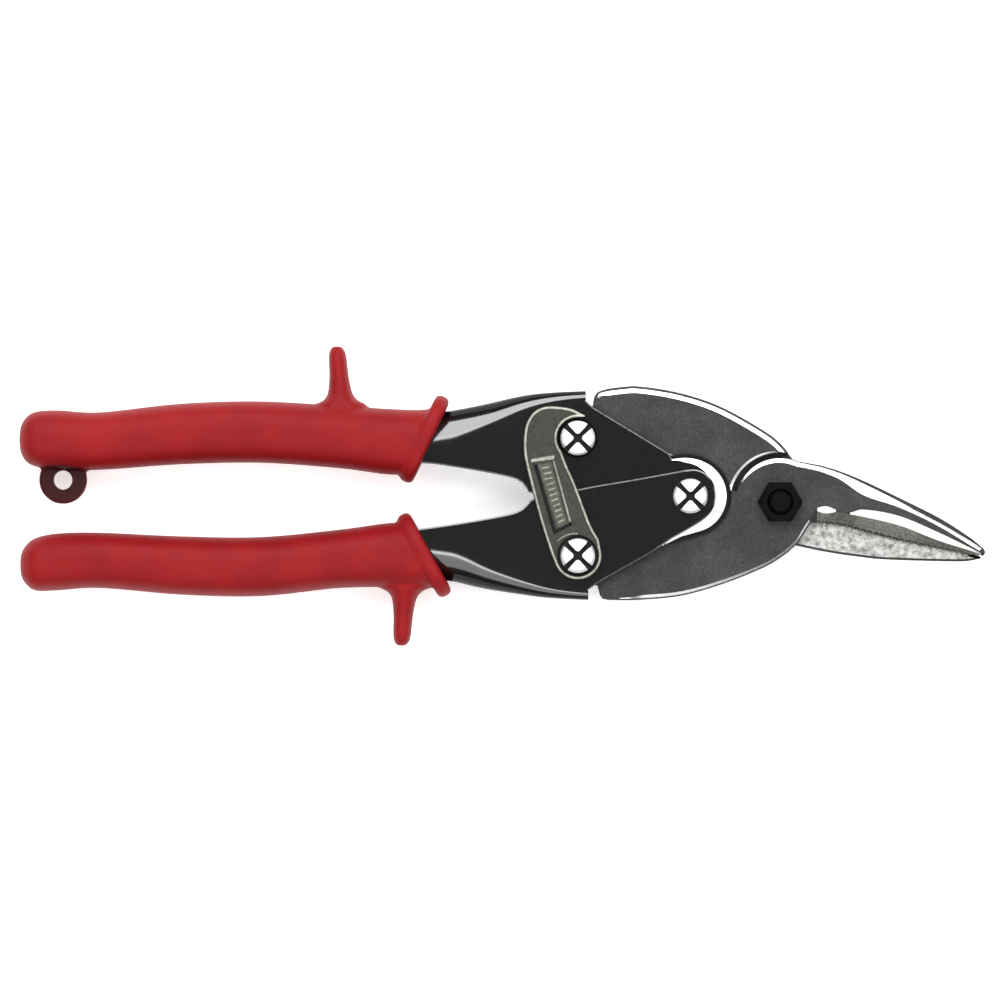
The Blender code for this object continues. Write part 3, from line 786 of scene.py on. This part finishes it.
def blade(name, outline, side):
    """The solid between the outer face (side is +1 for up) and the flat back."""
    loops = [[] for _ in range(7)]
    for (point, back, front, _), normal in zip(outline, inward_normals([row[0] for row in outline])):
        for loop, (inset, rise) in zip(loops, back):
            loop.append(inset_point(point, normal, inset, -side * (BLADE_HALF - rise)))
        for loop, step in zip(loops[3:], front):
            x, y, z = step if len(step) == 3 else inset_point(point, normal, step[0], BLADE_HALF - step[1])
            loop.append((x, y, side * z))

    def band(k):
        def kind(i):
            return min(outline[i][3][k], outline[(i + 1) % len(outline)][3][k])
        return kind

    shape = bmesh.new()
    skin_loops(shape, loops, [band(2), band(0), DARK, band(0), band(1), band(2)], (DARK, DARK))
    tidy(shape)
    return finish_mesh(name, shape, BLADE_FINISHES, BLADE_SHARP)


LAP_SPLIT = [(79, 8), (80, 2), (78, -6), (75, -9)]


def lap_step(blade_piece, side, start, end, caps):
    """Cuts away the half of the blade that the other blade laps over: a plain recess
    round the pivot and a ground face along the jaw."""
    ring = arc(BLADE_PIVOT, RECESS_RADIUS, start, end, 60)
    far = 45 * (1 if sin(radians(start)) > 0 else -1)
    split = LAP_SPLIT if far > 0 else LAP_SPLIT[::-1]
    head = [(split[-1][0], -far), (140, -far), (140, far), (split[0][0], far)]
    outline = [*head, (caps[0], far), *ring, (caps[1], -far)]
    flared = list(outline)
    for i, (x, y) in enumerate(ring):
        wider = 1 + 0.06 * sin(pi * i / (len(ring) - 1)) ** 0.5
        flared[len(head) + 1 + i] = (BLADE_PIVOT[0] + (x - BLADE_PIVOT[0]) * wider,
                                     BLADE_PIVOT[1] + (y - BLADE_PIVOT[1]) * wider)
    shape = bmesh.new()
    layers = [(outline, 0.15), (outline, 0.26 - BLADE_HALF), (flared, -0.02 - BLADE_HALF), (flared, -20)]
    rings = skin_loops(shape, [[(x, y, side * z) for x, y in line] for line, z in layers],
                       (DARK, BRIGHT, DARK), (None, DARK))
    inside = [shape.verts.new((x, y, side * 0.15)) for x, y in split]
    shape.faces.new(rings[0][:4] + inside).material_index = LAPPED
    shape.faces.new(rings[0][3:] + rings[0][:1] + inside[::-1]).material_index = DARK
    cut(blade_piece, finish_mesh("step", shape, BLADE_FINISHES))


def dark_rim(piece, side, width):
    """Breaks the edge between the lapped face and the spine's wall with a dull chamfer."""
    shape = bmesh.new()
    shape.from_mesh(piece.data)
    chosen = []
    for edge in shape.edges:
        x, y, z = (edge.verts[0].co + edge.verts[1].co) / 2 / MM
        flat = sorted(abs(face.normal.z) > 0.9 for face in edge.link_faces)
        clear = (Vector((x, y)) - Vector(BLADE_PIVOT)).length > 13.2
        if flat == [False, True] and abs(z - SHEAR_HEIGHT) < 0.3 and clear and side(x, y):
            chosen.append(edge)
    bmesh.ops.bevel(shape, geom=chosen, offset=width * MM, segments=1, affect="EDGES", profile=0.5,
                    material=DARK)
    shape.to_mesh(piece.data)
    shape.free()


def ruled(lines, count):
    """Matches curves of (x, y, z) control points by their share of length."""
    return list(zip(*(even(smooth(line, 8), count=count) for line in lines)))


def cutting_edge(lines, inward):
    """The flank with its serrations: each groove draws the edge back, and its faces carry painted shade in the
    dark finish.
    """
    rows, bands, run = [], [], 0
    made = ruled(lines, 190)
    for i, row in enumerate(made):
        if i:
            run += (Vector(row[0]) - Vector(made[i - 1][0])).length
        t = (run / TOOTH_PITCH) % 1
        depth = TOOTH_DEPTH * max(0, 1 - abs(t - 0.25) / 0.25)
        rows.append((tuple(Vector(row[0]) + Vector((*inward, -0.8)) * depth), *row[1:]))
        upper = DARK if SLOT_FROM < row[3][0] < SLOT_TO else BRIGHT
        # painted shade: the groove faces take the dark finish so the teeth show as dark dots
        bands.append((DARK if depth > 0 else DULL, DULL, upper) if i else (DARK, DARK, DARK))
    return rows, bands


def between(outer, inner, share, lift):
    """A curve part of the way from one curve to the other, raised a little."""
    return [tuple(a + (b - a) * share + (lift if k == 2 else 0) for k, (a, b) in enumerate(zip(p, q)))
            for p, q in zip(outer, inner)]


def spine(outer, inner):
    """The ground bevel along the jaw's back, with a dull rim of varying width outside it."""
    rim = []
    for a, b, share in zip(outer, inner, RIM_SHARES):
        x, y, z = (p + (q - p) * share for p, q in zip(a, b))
        rim.append((x, y, z + 0.3))
    return ruled([outer, rim, between(rim, inner, 0.5, 0.12), inner], 60)


def blunt_tip(points, centre):
    """The dull end of a jaw, from its outline in towards a centre."""
    rows = []
    for point in points:
        row = [Vector(point).lerp(Vector(centre), share) for share in (0, 0.15, 0.35, 0.55)]
        rows.append([(spot.x, spot.y, z) for spot, z in zip(row, (0.8, 1.2, 1.5, 1.7))])
    return rows


def jaw(lines, inward, tip, tip_centre, back, crest):
    """The serrated cutting edge, the dull tip and the ground spine."""
    return (stepped(*cutting_edge(lines, inward)) + stepped(blunt_tip(tip, tip_centre), (DARK, DARK, DARK))
            + stepped(spine(back, crest), (DARK, BRIGHT, BRIGHT)))


def head(bright, dull, inner):
    """The arc round the pivot, ground and then dull, and the inner edge back to the tail."""
    return (bevelled(arc(BLADE_PIVOT, LAP_RADIUS, *bright), lambda t: 1.35 - 0.75 * t ** 3,
                     lambda t: 0.45 - 0.25 * t ** 4, 0.3, True)
            + bevelled(arc(BLADE_PIVOT, LAP_RADIUS, *dull) + inner[:2])
            + bevelled(even(smooth(inner[2:]), 1.5)))


def cut_blade(name, outline, side, lap, holes, rim, rim_width):
    """The blade with its lap, its holes and its dull rim."""
    made = blade(name, outline, side)
    lap_step(made, side, *lap)
    for centre, radius in holes:
        drill(made, centre, radius)
    dark_rim(made, rim, rim_width)
    resharpen(made, BLADE_SHARP)
    return made


def upper_jaw_blade():
    """Tail at the lower link; the jaw's outer face looks up."""
    outline = bevelled(arc(LOWER_LINK, 7, 90, 280, 28))
    outline += bevelled([(24.4, -23), (25, -25.4), (25.6, -26.3), (27, -26.6)])
    outline += bevelled(even(smooth([
        (30, -26.7), (35.2, -26.6), (45.5, -25.6), (55.7, -22.8), (65.9, -18.8), (71.1, -15.9), (75.4, -12.3),
        (77.8, -8.6), (78.8, -6.9)]), 1),
        lambda t: 1.25 - 0.45 * t - 0.7 * max(0, 1 - t / 0.12), 0.35, 0.42, True)
    edge = [(80.4, -6.9, 1.6), (86.4, -7.6, 1.2), (92.8, -9.2, 1), (101.8, -11.5, 0.9), (112, -13.6, 0.9),
            (119.7, -15, 0.9), (122.7, -15.4, 0.8)]
    land = [(80.4, -6.3, 2.1), (86.4, -6.9, 1.8), (92.8, -8.5, 1.6), (101.8, -10.8, 1.5), (112, -13, 1.4),
            (119.7, -14.6, 1.3), (122.7, -15.2, 1.2)]
    mid = [(80.4, -3.8, 3.5), (82.9, -4.5, 3.1), (85.6, -4.1, 3.6), (89, -4.7, 3.6), (92.8, -5.4, 3.1),
           (101.8, -7.6, 3), (112, -11.5, 2.5), (119.7, -13.9, 1.9), (122.7, -15, 1.5)]
    ridge = [(80.4, -3.1, 3.75), (82.9, -2.6, 3.75), (85.6, -3.6, 3.75), (89, -4.2, 3.75), (92.8, -3.5, 3.75),
             (101.8, -5.2, 3.7), (112, -9.5, 3.1), (119.7, -13.2, 2.2), (122.7, -14.7, 1.7)]
    tip = [(123.2, -15.4), (123.7, -14.9), (123.8, -14.2), (123.5, -13.6)]
    back = [(123.2, -13.3, 1.2), (119.7, -10.5, 1.5), (112, -5.6, 2), (101.8, -0.5, 2.4), (92.8, 3.8, 2.3),
            (86.4, 6.4, 2.5), (81.3, 7.9, 2.9)]
    crest = [(122.2, -14, 1.7), (119.7, -12.5, 2.2), (112, -7.9, 3.1), (101.8, -3, 3.7), (92.8, 0.1, 3.75),
             (86.4, 4.3, 3.75), (81.3, 6.3, 3.75)]
    outline += jaw([edge, land, mid, ridge], (-0.15, 0.98), tip, (122.45, -14.35), back, crest)
    outline += head((66, 152, 36), (155, 166, 4), [
        (58.9, 1.5), (57.9, 0.4), (57.6, -1.6), (53.6, -5.9), (48, -8.2), (38, -8.7), (26, -8.4)])
    return cut_blade("upper_jaw_blade_shaped", outline, 1, (85, 267, (72, BLADE_PIVOT[0] - 0.7)),
                     ((BLADE_PIVOT, 3.2), (LOWER_LINK, 4.05)),
                     lambda x, y: y > -1.2 * (x - 79) / 3.4 + 2, 0.45)


def lower_jaw_blade():
    """Tail at the upper link; the jaw's outer face looks down."""
    outline = bevelled(arc(UPPER_LINK, 7, 270, 80, 28))
    outline += bevelled([(23.2, 23.2), (23.4, 24.6)])
    outline += bevelled([(23.6, 25.6), (24.2, 26.5), (25.2, 27)], 1.3, 0.35, 0.6, True)
    outline += bevelled(even(smooth([
        (27, 27.5), (30.1, 27.9), (35.2, 28.1), (45.5, 26.4), (55.7, 23), (65.9, 17.4), (71.1, 13.6),
        (75, 8.6)]), 1), 1.75, 0.4, 0.7, True)
    outline += bevelled(even(smooth([(76.6, 6.8), (78.6, 4.6), (80.6, 3)]), 0.8))
    edge = [(82.4, 1.8, 1.6), (86.4, -0.4, 1.2), (91.6, -3.2, 1), (99.2, -6.7, 0.9), (106.9, -9.6, 0.9),
            (114.2, -12.4, 0.9), (121, -14.9, 0.8)]
    land = [(82.2, 1.2, 2.1), (86.2, -1.1, 1.8), (91.4, -3.9, 1.6), (99, -7.4, 1.5), (106.7, -10.2, 1.4),
            (114, -12.9, 1.3), (120.9, -15.1, 1.2)]
    mid = [(82.6, -2.4, 3.1), (86.4, -4.2, 3.2), (91.6, -6.4, 3.1), (99.2, -9.4, 3), (106.9, -11.9, 2.5),
           (114.2, -14, 2), (121.1, -15.4, 1.5)]
    ridge = [(82.8, -5.2, 3.75), (86.4, -6.6, 3.75), (91.6, -8.6, 3.75), (99.2, -11.2, 3.7),
             (106.9, -13.4, 3.2), (114.2, -15, 2.6), (121.1, -15.7, 1.7)]
    tip = [(121.9, -15.2), (122.6, -15.5), (122.9, -15.8), (122.6, -16.1)]
    back = [(122, -16.2, 1.2), (117.9, -16.8, 1.5), (106.9, -16.6, 2), (97, -16.2, 2.4), (91.6, -15.6, 2.3),
            (86.4, -14.9, 2.5), (81.3, -14, 2.9)]
    crest = [(121.2, -16, 1.7), (117.9, -16, 2.3), (106.9, -14.6, 3.2), (97, -12.6, 3.7), (91.6, -11.6, 3.75),
             (86.4, -11.2, 3.75), (81.3, -12, 3.75)]
    outline += jaw([edge, land, mid, ridge], (-0.4, -0.9), tip, (121.15, -15.85), back, crest)
    outline += head((-74, -176, 34), (-179, -189, 4), [
        (58.7, 1.2), (57.9, 1.8), (57.4, 2.2), (54.4, 5.8), (48, 8), (38, 8.3), (26, 8)])
    return cut_blade("lower_jaw_blade_shaped", outline, -1, (-85, -284, (72, 74.1)),
                     ((BLADE_PIVOT, 3.2), (UPPER_LINK, 4.3)),
                     lambda x, y: y < -9 - 0.12 * (x - 79), 0.6)


# ---- fasteners
def link_bolt(node_name, centre):
    """A crowned round head with a wide cross recess, on its shank."""
    low, top = span(node_name)
    seat = top - 2.05
    profile = [(0, low), (2.2, low), (2.4, low + 0.3), (2.4, seat), (4.1, seat), (4.4, seat + 0.3),
               (4.4, top - 0.85), (4.1, top - 0.5), (3.4, top - 0.22), (2.4, top - 0.06), (0, top)]
    bolt = turned(node_name + "_shaped", centre, profile, 72, [ZINC, RECESS_SHADOW], angle=40)
    half = [(-4.6, -0.75), (-1.2, -0.55), (0, -1.15), (1.2, -0.55), (4.6, -0.75)]
    # the cross slots are cut with the painted shadow finish on their walls and floor
    for turn in (45, 135):
        way = Vector((cos(radians(turn)), sin(radians(turn))))
        side = Vector((-way.y, way.x))
        corners = [Vector(centre) + way * a + side * b for a, b in half + [(-a, -b) for a, b in half]]
        cut(bolt, prism("slot", corners, top - 1.3, top + 1, [ZINC, RECESS_SHADOW], 1))
    resharpen(bolt, 40)
    return bolt


HEX_SIDES = 72


def hex_reach(angle, flats):
    """A hexagon's distance from its centre, with a corner at angle 0."""
    return flats / 2 / cos(angle % (pi / 3) - pi / 6)


def hex_end(flats, end, inward):
    """A hexagon's end with its corners turned off: the edge of the flat end, then the walls' rim."""
    inner = flats / 2 * 0.95
    slope = inward * 0.76 / (flats / sqrt(3) + 0.05 - inner)
    return [(inner, end), lambda a: (hex_reach(a, flats), end + slope * (hex_reach(a, flats) - inner))]


def nut(node_name, centre, flats, bore, finish):
    low, high = span(node_name)
    wide = bore + 0.2
    profile = [(bore, low + 0.2), (wide, low), *hex_end(flats, low, 1), *reversed(hex_end(flats, high, -1)),
               (wide, high), (bore, high - 0.2)]
    return turned(node_name + "_shaped", centre, profile, HEX_SIDES, [finish], bored=True)


def thread(radius, pitch, low, high):
    """Steps that stand for a thread, with a turned end."""
    profile = []
    z = low
    while z < high - 0.6:
        profile += [(radius - 0.25, z), (radius, z + pitch / 2)]
        z += pitch
    return profile + [(radius - 0.25, z), (radius - 0.7, high), (0, high)]


def blade_bolt():
    low, top = span("blade_pivot_bolt")
    seat = span("blade_pivot_washer")[0] - 0.3
    profile = [(0, low), *hex_end(10, low, 1), lambda a: (hex_reach(a, 10), seat), (2.95, seat), (2.95, 3.9),
               *thread(2.95, 0.9, 3.9, top)]
    return turned("blade_pivot_bolt_shaped", BLADE_PIVOT, profile, HEX_SIDES, [OXIDE])


# ---- latch
HOOK_SWEEP = 35.25
RIBS = 11


def latch():
    """A stamped strap with a rolled rim and a coined panel; the rim carries a lighter finish as painted highlight.

    Its hook's tip keeps to a circle round the latch's own pivot that clears the spacer.
    """
    foot = arc(LOWER_LINK, 6.2, 198, 368, 40)
    right = even(smooth([(24.7, -11), (22.6, -7.3), (20.4, -1.5), (18.3, 4), (16.9, 7), (15.8, 9.8)]), 0.8)
    notch = arc(UPPER_LINK, 5.2, 218, 92, 28)
    hook = [polar(LOWER_LINK, HOOK_SWEEP + extra, radians(angle))
            for angle, extra in ((89, 0), (88, 0), (87.2, 0), (86.8, 0.3), (87, 0.8))]
    crown = even(smooth([
        (20.6, 20.9), (17.8, 22.3), (14.2, 22.9), (10.9, 22.9), (8.2, 21.7), (6.4, 19.4), (5.6, 16.9),
        (5.3, 13), (5.6, 9.6), (6.6, 5.2), (8.7, -3), (10.3, -8.6), (12.4, -15)]), 0.8)
    outline = foot + right + notch + hook + crown
    normals = inward_normals(outline)

    face = LATCH_TOP - 0.3
    loops = [drawn_in(outline, normals, inset, z) for inset, z in (
        (0.25, LATCH_BASE), (0, LATCH_BASE + 0.25), (0, LATCH_TOP - 0.35), (0.2, LATCH_TOP - 0.08),
        (0.5, LATCH_TOP), (0.8, LATCH_TOP - 0.12), (0.95, face))]
    shape = bmesh.new()
    # the two bands of the rolled rim take the lighter painted-highlight finish
    skin_loops(shape, loops, [0, 0, 0, 1, 1, 0], (0, 0))
    strap = finish_mesh("latch_strap", shape, LATCH_FINISHES, 40)
    drill(strap, LOWER_LINK, 2.6)
    # painted shadow: the well round the pivot and the two grooves, which stand for the panel's shaded left and
    # lower sides, take the near-black finish
    well = [(0, face - 0.5), (5.1, face - 0.5), (5.35, face + 0.5), (0, face + 0.5)]
    cut(strap, turned("well", LOWER_LINK, well, 64, LATCH_FINISHES, 2))
    for corners, depth in ((((7.9, 7.9), (8.8, 8.1), (13.9, -9.6), (13, -9.8)), 0.46),
                           (((13.03, -9.75), (13.3, -8.9), (17.6, -6.7), (17.8, -7.5)), 0.42)):
        cut(strap, prism("groove", corners, face - depth, face + 0.5, LATCH_FINISHES, 2))
    weld(strap)
    resharpen(strap, 40)
    return strap, face


def bar(shape, outline, foot, top, slope, kind):
    """A raised bar with sloping sides over a small outline."""
    normals = inward_normals(outline)
    loops = [[(x, y, foot) for x, y in outline], drawn_in(outline, normals, slope, top)]
    skin_loops(shape, loops, [kind], (kind, kind))


def latch_relief(face):
    """The coined panel, the bars round it and the arch over the latch's pivot; bars, arch and ribs carry the
    lighter finish as painted highlight.
    """
    shape = bmesh.new()
    bar(shape, [(7.4, 9.6), (7.2, 8.4), (13.2, 9.2), (13.4, 10.6)], face - 0.1, face + 0.4, 0.22, 0)
    bar(shape, [(13.3, 9.2), (12.7, 8.9), (16.9, -6.6), (17.7, -6.4)], face - 0.1, face + 0.4, 0.2, 0)
    arch = arc((LOWER_LINK[0] - 0.6, LOWER_LINK[1] - 0.4), 6.3, 138, 84, 12)
    band = arch + [(x + 0.05, y - 0.62) for x, y in reversed(arch)]
    bar(shape, band, face - 0.1, face + 0.34, 0.18, 0)
    bars = finish_mesh("latch_panel_bars", shape, [NICKEL_HIGHLIGHT, PANEL], 40)
    shape = bmesh.new()
    corners = [Vector((8.9, 8)), Vector((12.5, 8.6)), Vector((16.5, -6.8)), Vector((14, -8.2))]
    bar(shape, corners, face - 0.1, face + 0.16, 0.12, 1)
    along = (corners[3] - corners[0]).normalized()
    for k in range(RIBS):
        t = (k + 0.8) / (RIBS + 0.6)
        left, right = corners[0].lerp(corners[3], t), corners[1].lerp(corners[2], t)
        a, b = left.lerp(right, 0.2), left.lerp(right, 0.8)
        rib = [a + along * 0.3, b + along * 0.3, b - along * 0.3, a - along * 0.3]
        bar(shape, rib, face + 0.1, face + 0.38, 0.14, 0)
    panel = finish_mesh("latch_panel_relief", shape, [NICKEL_HIGHLIGHT, PANEL], 40)
    return bars, panel


# ---- spring
def return_spring():
    """The torsion spring as a swept wire with flat-cut ends."""
    low, turns, radius, wire, per_turn = -3, 4.5, 5.2, 0.6, 36
    leg = [(-6, -10.2, low), (4, -7.4, low), (19, -6.4, low), (34, -5.6, low)]
    path = smooth(leg)[:-1]
    steps = int(turns * per_turn)
    for i in range(steps + 1):
        angle = radians(270) + 2 * pi * turns * i / steps
        path.append((*polar(HANDLE_PIVOT, radius, angle), low - 2 * low * i / steps))
    path += smooth([(x, -y, -z) for x, y, z in reversed(leg)])
    sections = []
    for i, point in enumerate(path):
        along = (Vector(path[min(i + 1, len(path) - 1)]) - Vector(path[max(i - 1, 0)])).normalized()
        side = along.cross(Vector((0, 0, 1))).normalized()
        up = side.cross(along)
        sections.append([tuple(Vector(point) + (side * cos(a) + up * sin(a)) * wire)
                         for a in (2 * pi * k / 16 for k in range(16))])
    return loft("return_spring_wire", sections, [WIRE])


# ---- put together
def add(piece, body, slot, *nodes):
    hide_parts(*nodes)
    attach(piece, body)


def build_object():
    add(upper_handle(), "upper_handle_side", "handle_steel", "upper_handle")
    add(lower_handle(), "lower_handle_side", "handle_steel", "lower_handle")
    add(grip("upper_grip_moulded", UPPER_GRIP, ((-15.7, 24), (-24.4, 5.2)), (-41.4, 23), -0.07, 1,
             UPPER_WEB, UPPER_OPEN, UPPER_CHEEK, HANG_HOLE),
        "upper_handle_side", "grip_vinyl", "upper_grip")
    add(grip("lower_grip_moulded", LOWER_GRIP, ((-25, -6.2), (-15.2, -24.1)), (-25, -23), -0.06, -1,
             LOWER_WEB, LOWER_OPEN, LOWER_CHEEK),
        "lower_handle_side", "grip_vinyl", "lower_grip")
    add(upper_jaw_blade(), "upper_jaw", "blade_steel", "upper_jaw_blade")
    add(lower_jaw_blade(), "lower_jaw", "blade_steel", "lower_jaw_blade")
    for name, body, centre in (("upper_link", "upper_handle_side", UPPER_LINK),
                               ("lower_link", "lower_handle_side", LOWER_LINK),
                               ("handle_pivot", "lower_handle_side", HANDLE_PIVOT)):
        add(link_bolt(name + "_bolt", centre), body, "bright_zinc", name + "_bolt")
        add(nut(name + "_nut", centre, 8, 2.6, ZINC), body, "bright_zinc", name + "_nut")
    add(blade_bolt(), "upper_jaw", "black_oxide", "blade_pivot_bolt")
    add(nut("blade_pivot_nut", BLADE_PIVOT, 10, 3.2, OXIDE), "upper_jaw", "black_oxide", "blade_pivot_nut")
    strap, face = latch()
    add(strap, "latch_arm", "latch_nickel", "latch")
    for piece in latch_relief(face):
        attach(piece, "latch_arm")
    spring = return_spring()
    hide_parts("return_spring")
    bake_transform(spring)


def finish_kept_nodes():
    """CAD pieces whose shape is right keep it and get a finished surface."""
    looks = {"bright_zinc": BARE, "black_oxide": OXIDE, "bush_bronze": BRONZE, "spring_steel": WIRE}
    slots = {part["node"]: part["material_slot"] for part in frame["record"]["subparts"]}
    for name, piece in frame["nodes"].items():
        if slots[name] in looks:
            piece.data.materials.clear()
            piece.data.materials.append(looks[slots[name]])


# ---- studio
def softbox(name, place_at, size, power):
    light = bpy.data.lights.new(name, "AREA")
    light.shape = "RECTANGLE"
    light.size, light.size_y = size
    light.energy = power
    lamp = link(name, light)
    lamp.location = place_at
    lamp.rotation_euler = (Vector((0, 0, 0)) - Vector(place_at)).to_track_quat("-Z", "Y").to_euler()


def studio():
    mesh = bpy.data.meshes.new("floor")
    reach = 3
    mesh.from_pydata([(-reach, -reach, 0), (reach, -reach, 0), (reach, reach, 0), (-reach, reach, 0)], [],
                     [(0, 1, 2, 3)])
    mesh.materials.append(shader_material("floor_white", 0.95, 0.9, 0, floor_look, Emission_Strength=0.45))
    link("floor", mesh)
    softbox("softbox_far_side", (0, 0.72, 0.86), (1.5, 0.75), 15)
    softbox("softbox_near_side", (0, -0.72, 0.86), (1.5, 0.75), 4.5)
    softbox("softbox_left", (-0.85, 0, 0.9), (0.45, 1), 2.5)
    softbox("softbox_right", (0.85, 0, 0.9), (0.45, 1), 3.5)
    softbox("overhead_far", (0, 0.4, 1.35), (1.2, 0.22), 4)
    softbox("overhead_near", (0, -0.4, 1.35), (1.2, 0.22), 4)
    world = bpy.data.worlds.new("soft_studio")
    world.use_nodes = True
    background = world.node_tree.nodes["Background"]
    background.inputs["Color"].default_value = (1, 1, 1, 1)
    background.inputs["Strength"].default_value = 0.1
    bpy.context.scene.world = world
    bpy.context.scene.view_settings.view_transform = "Standard"


def camera():
    """Straight above, with a long lens that frames the tool from guard to guard."""
    distance, view_width = 2, 0.2561
    lens = bpy.data.cameras.new("camera")
    lens.sensor_width = 36
    lens.lens = 36 * distance / view_width
    made = link("camera", lens)
    made.location = (-0.00064, -0.00102, distance + 0.014)
    bpy.context.scene.camera = made


camera()
build_object()
finish_kept_nodes()
studio()
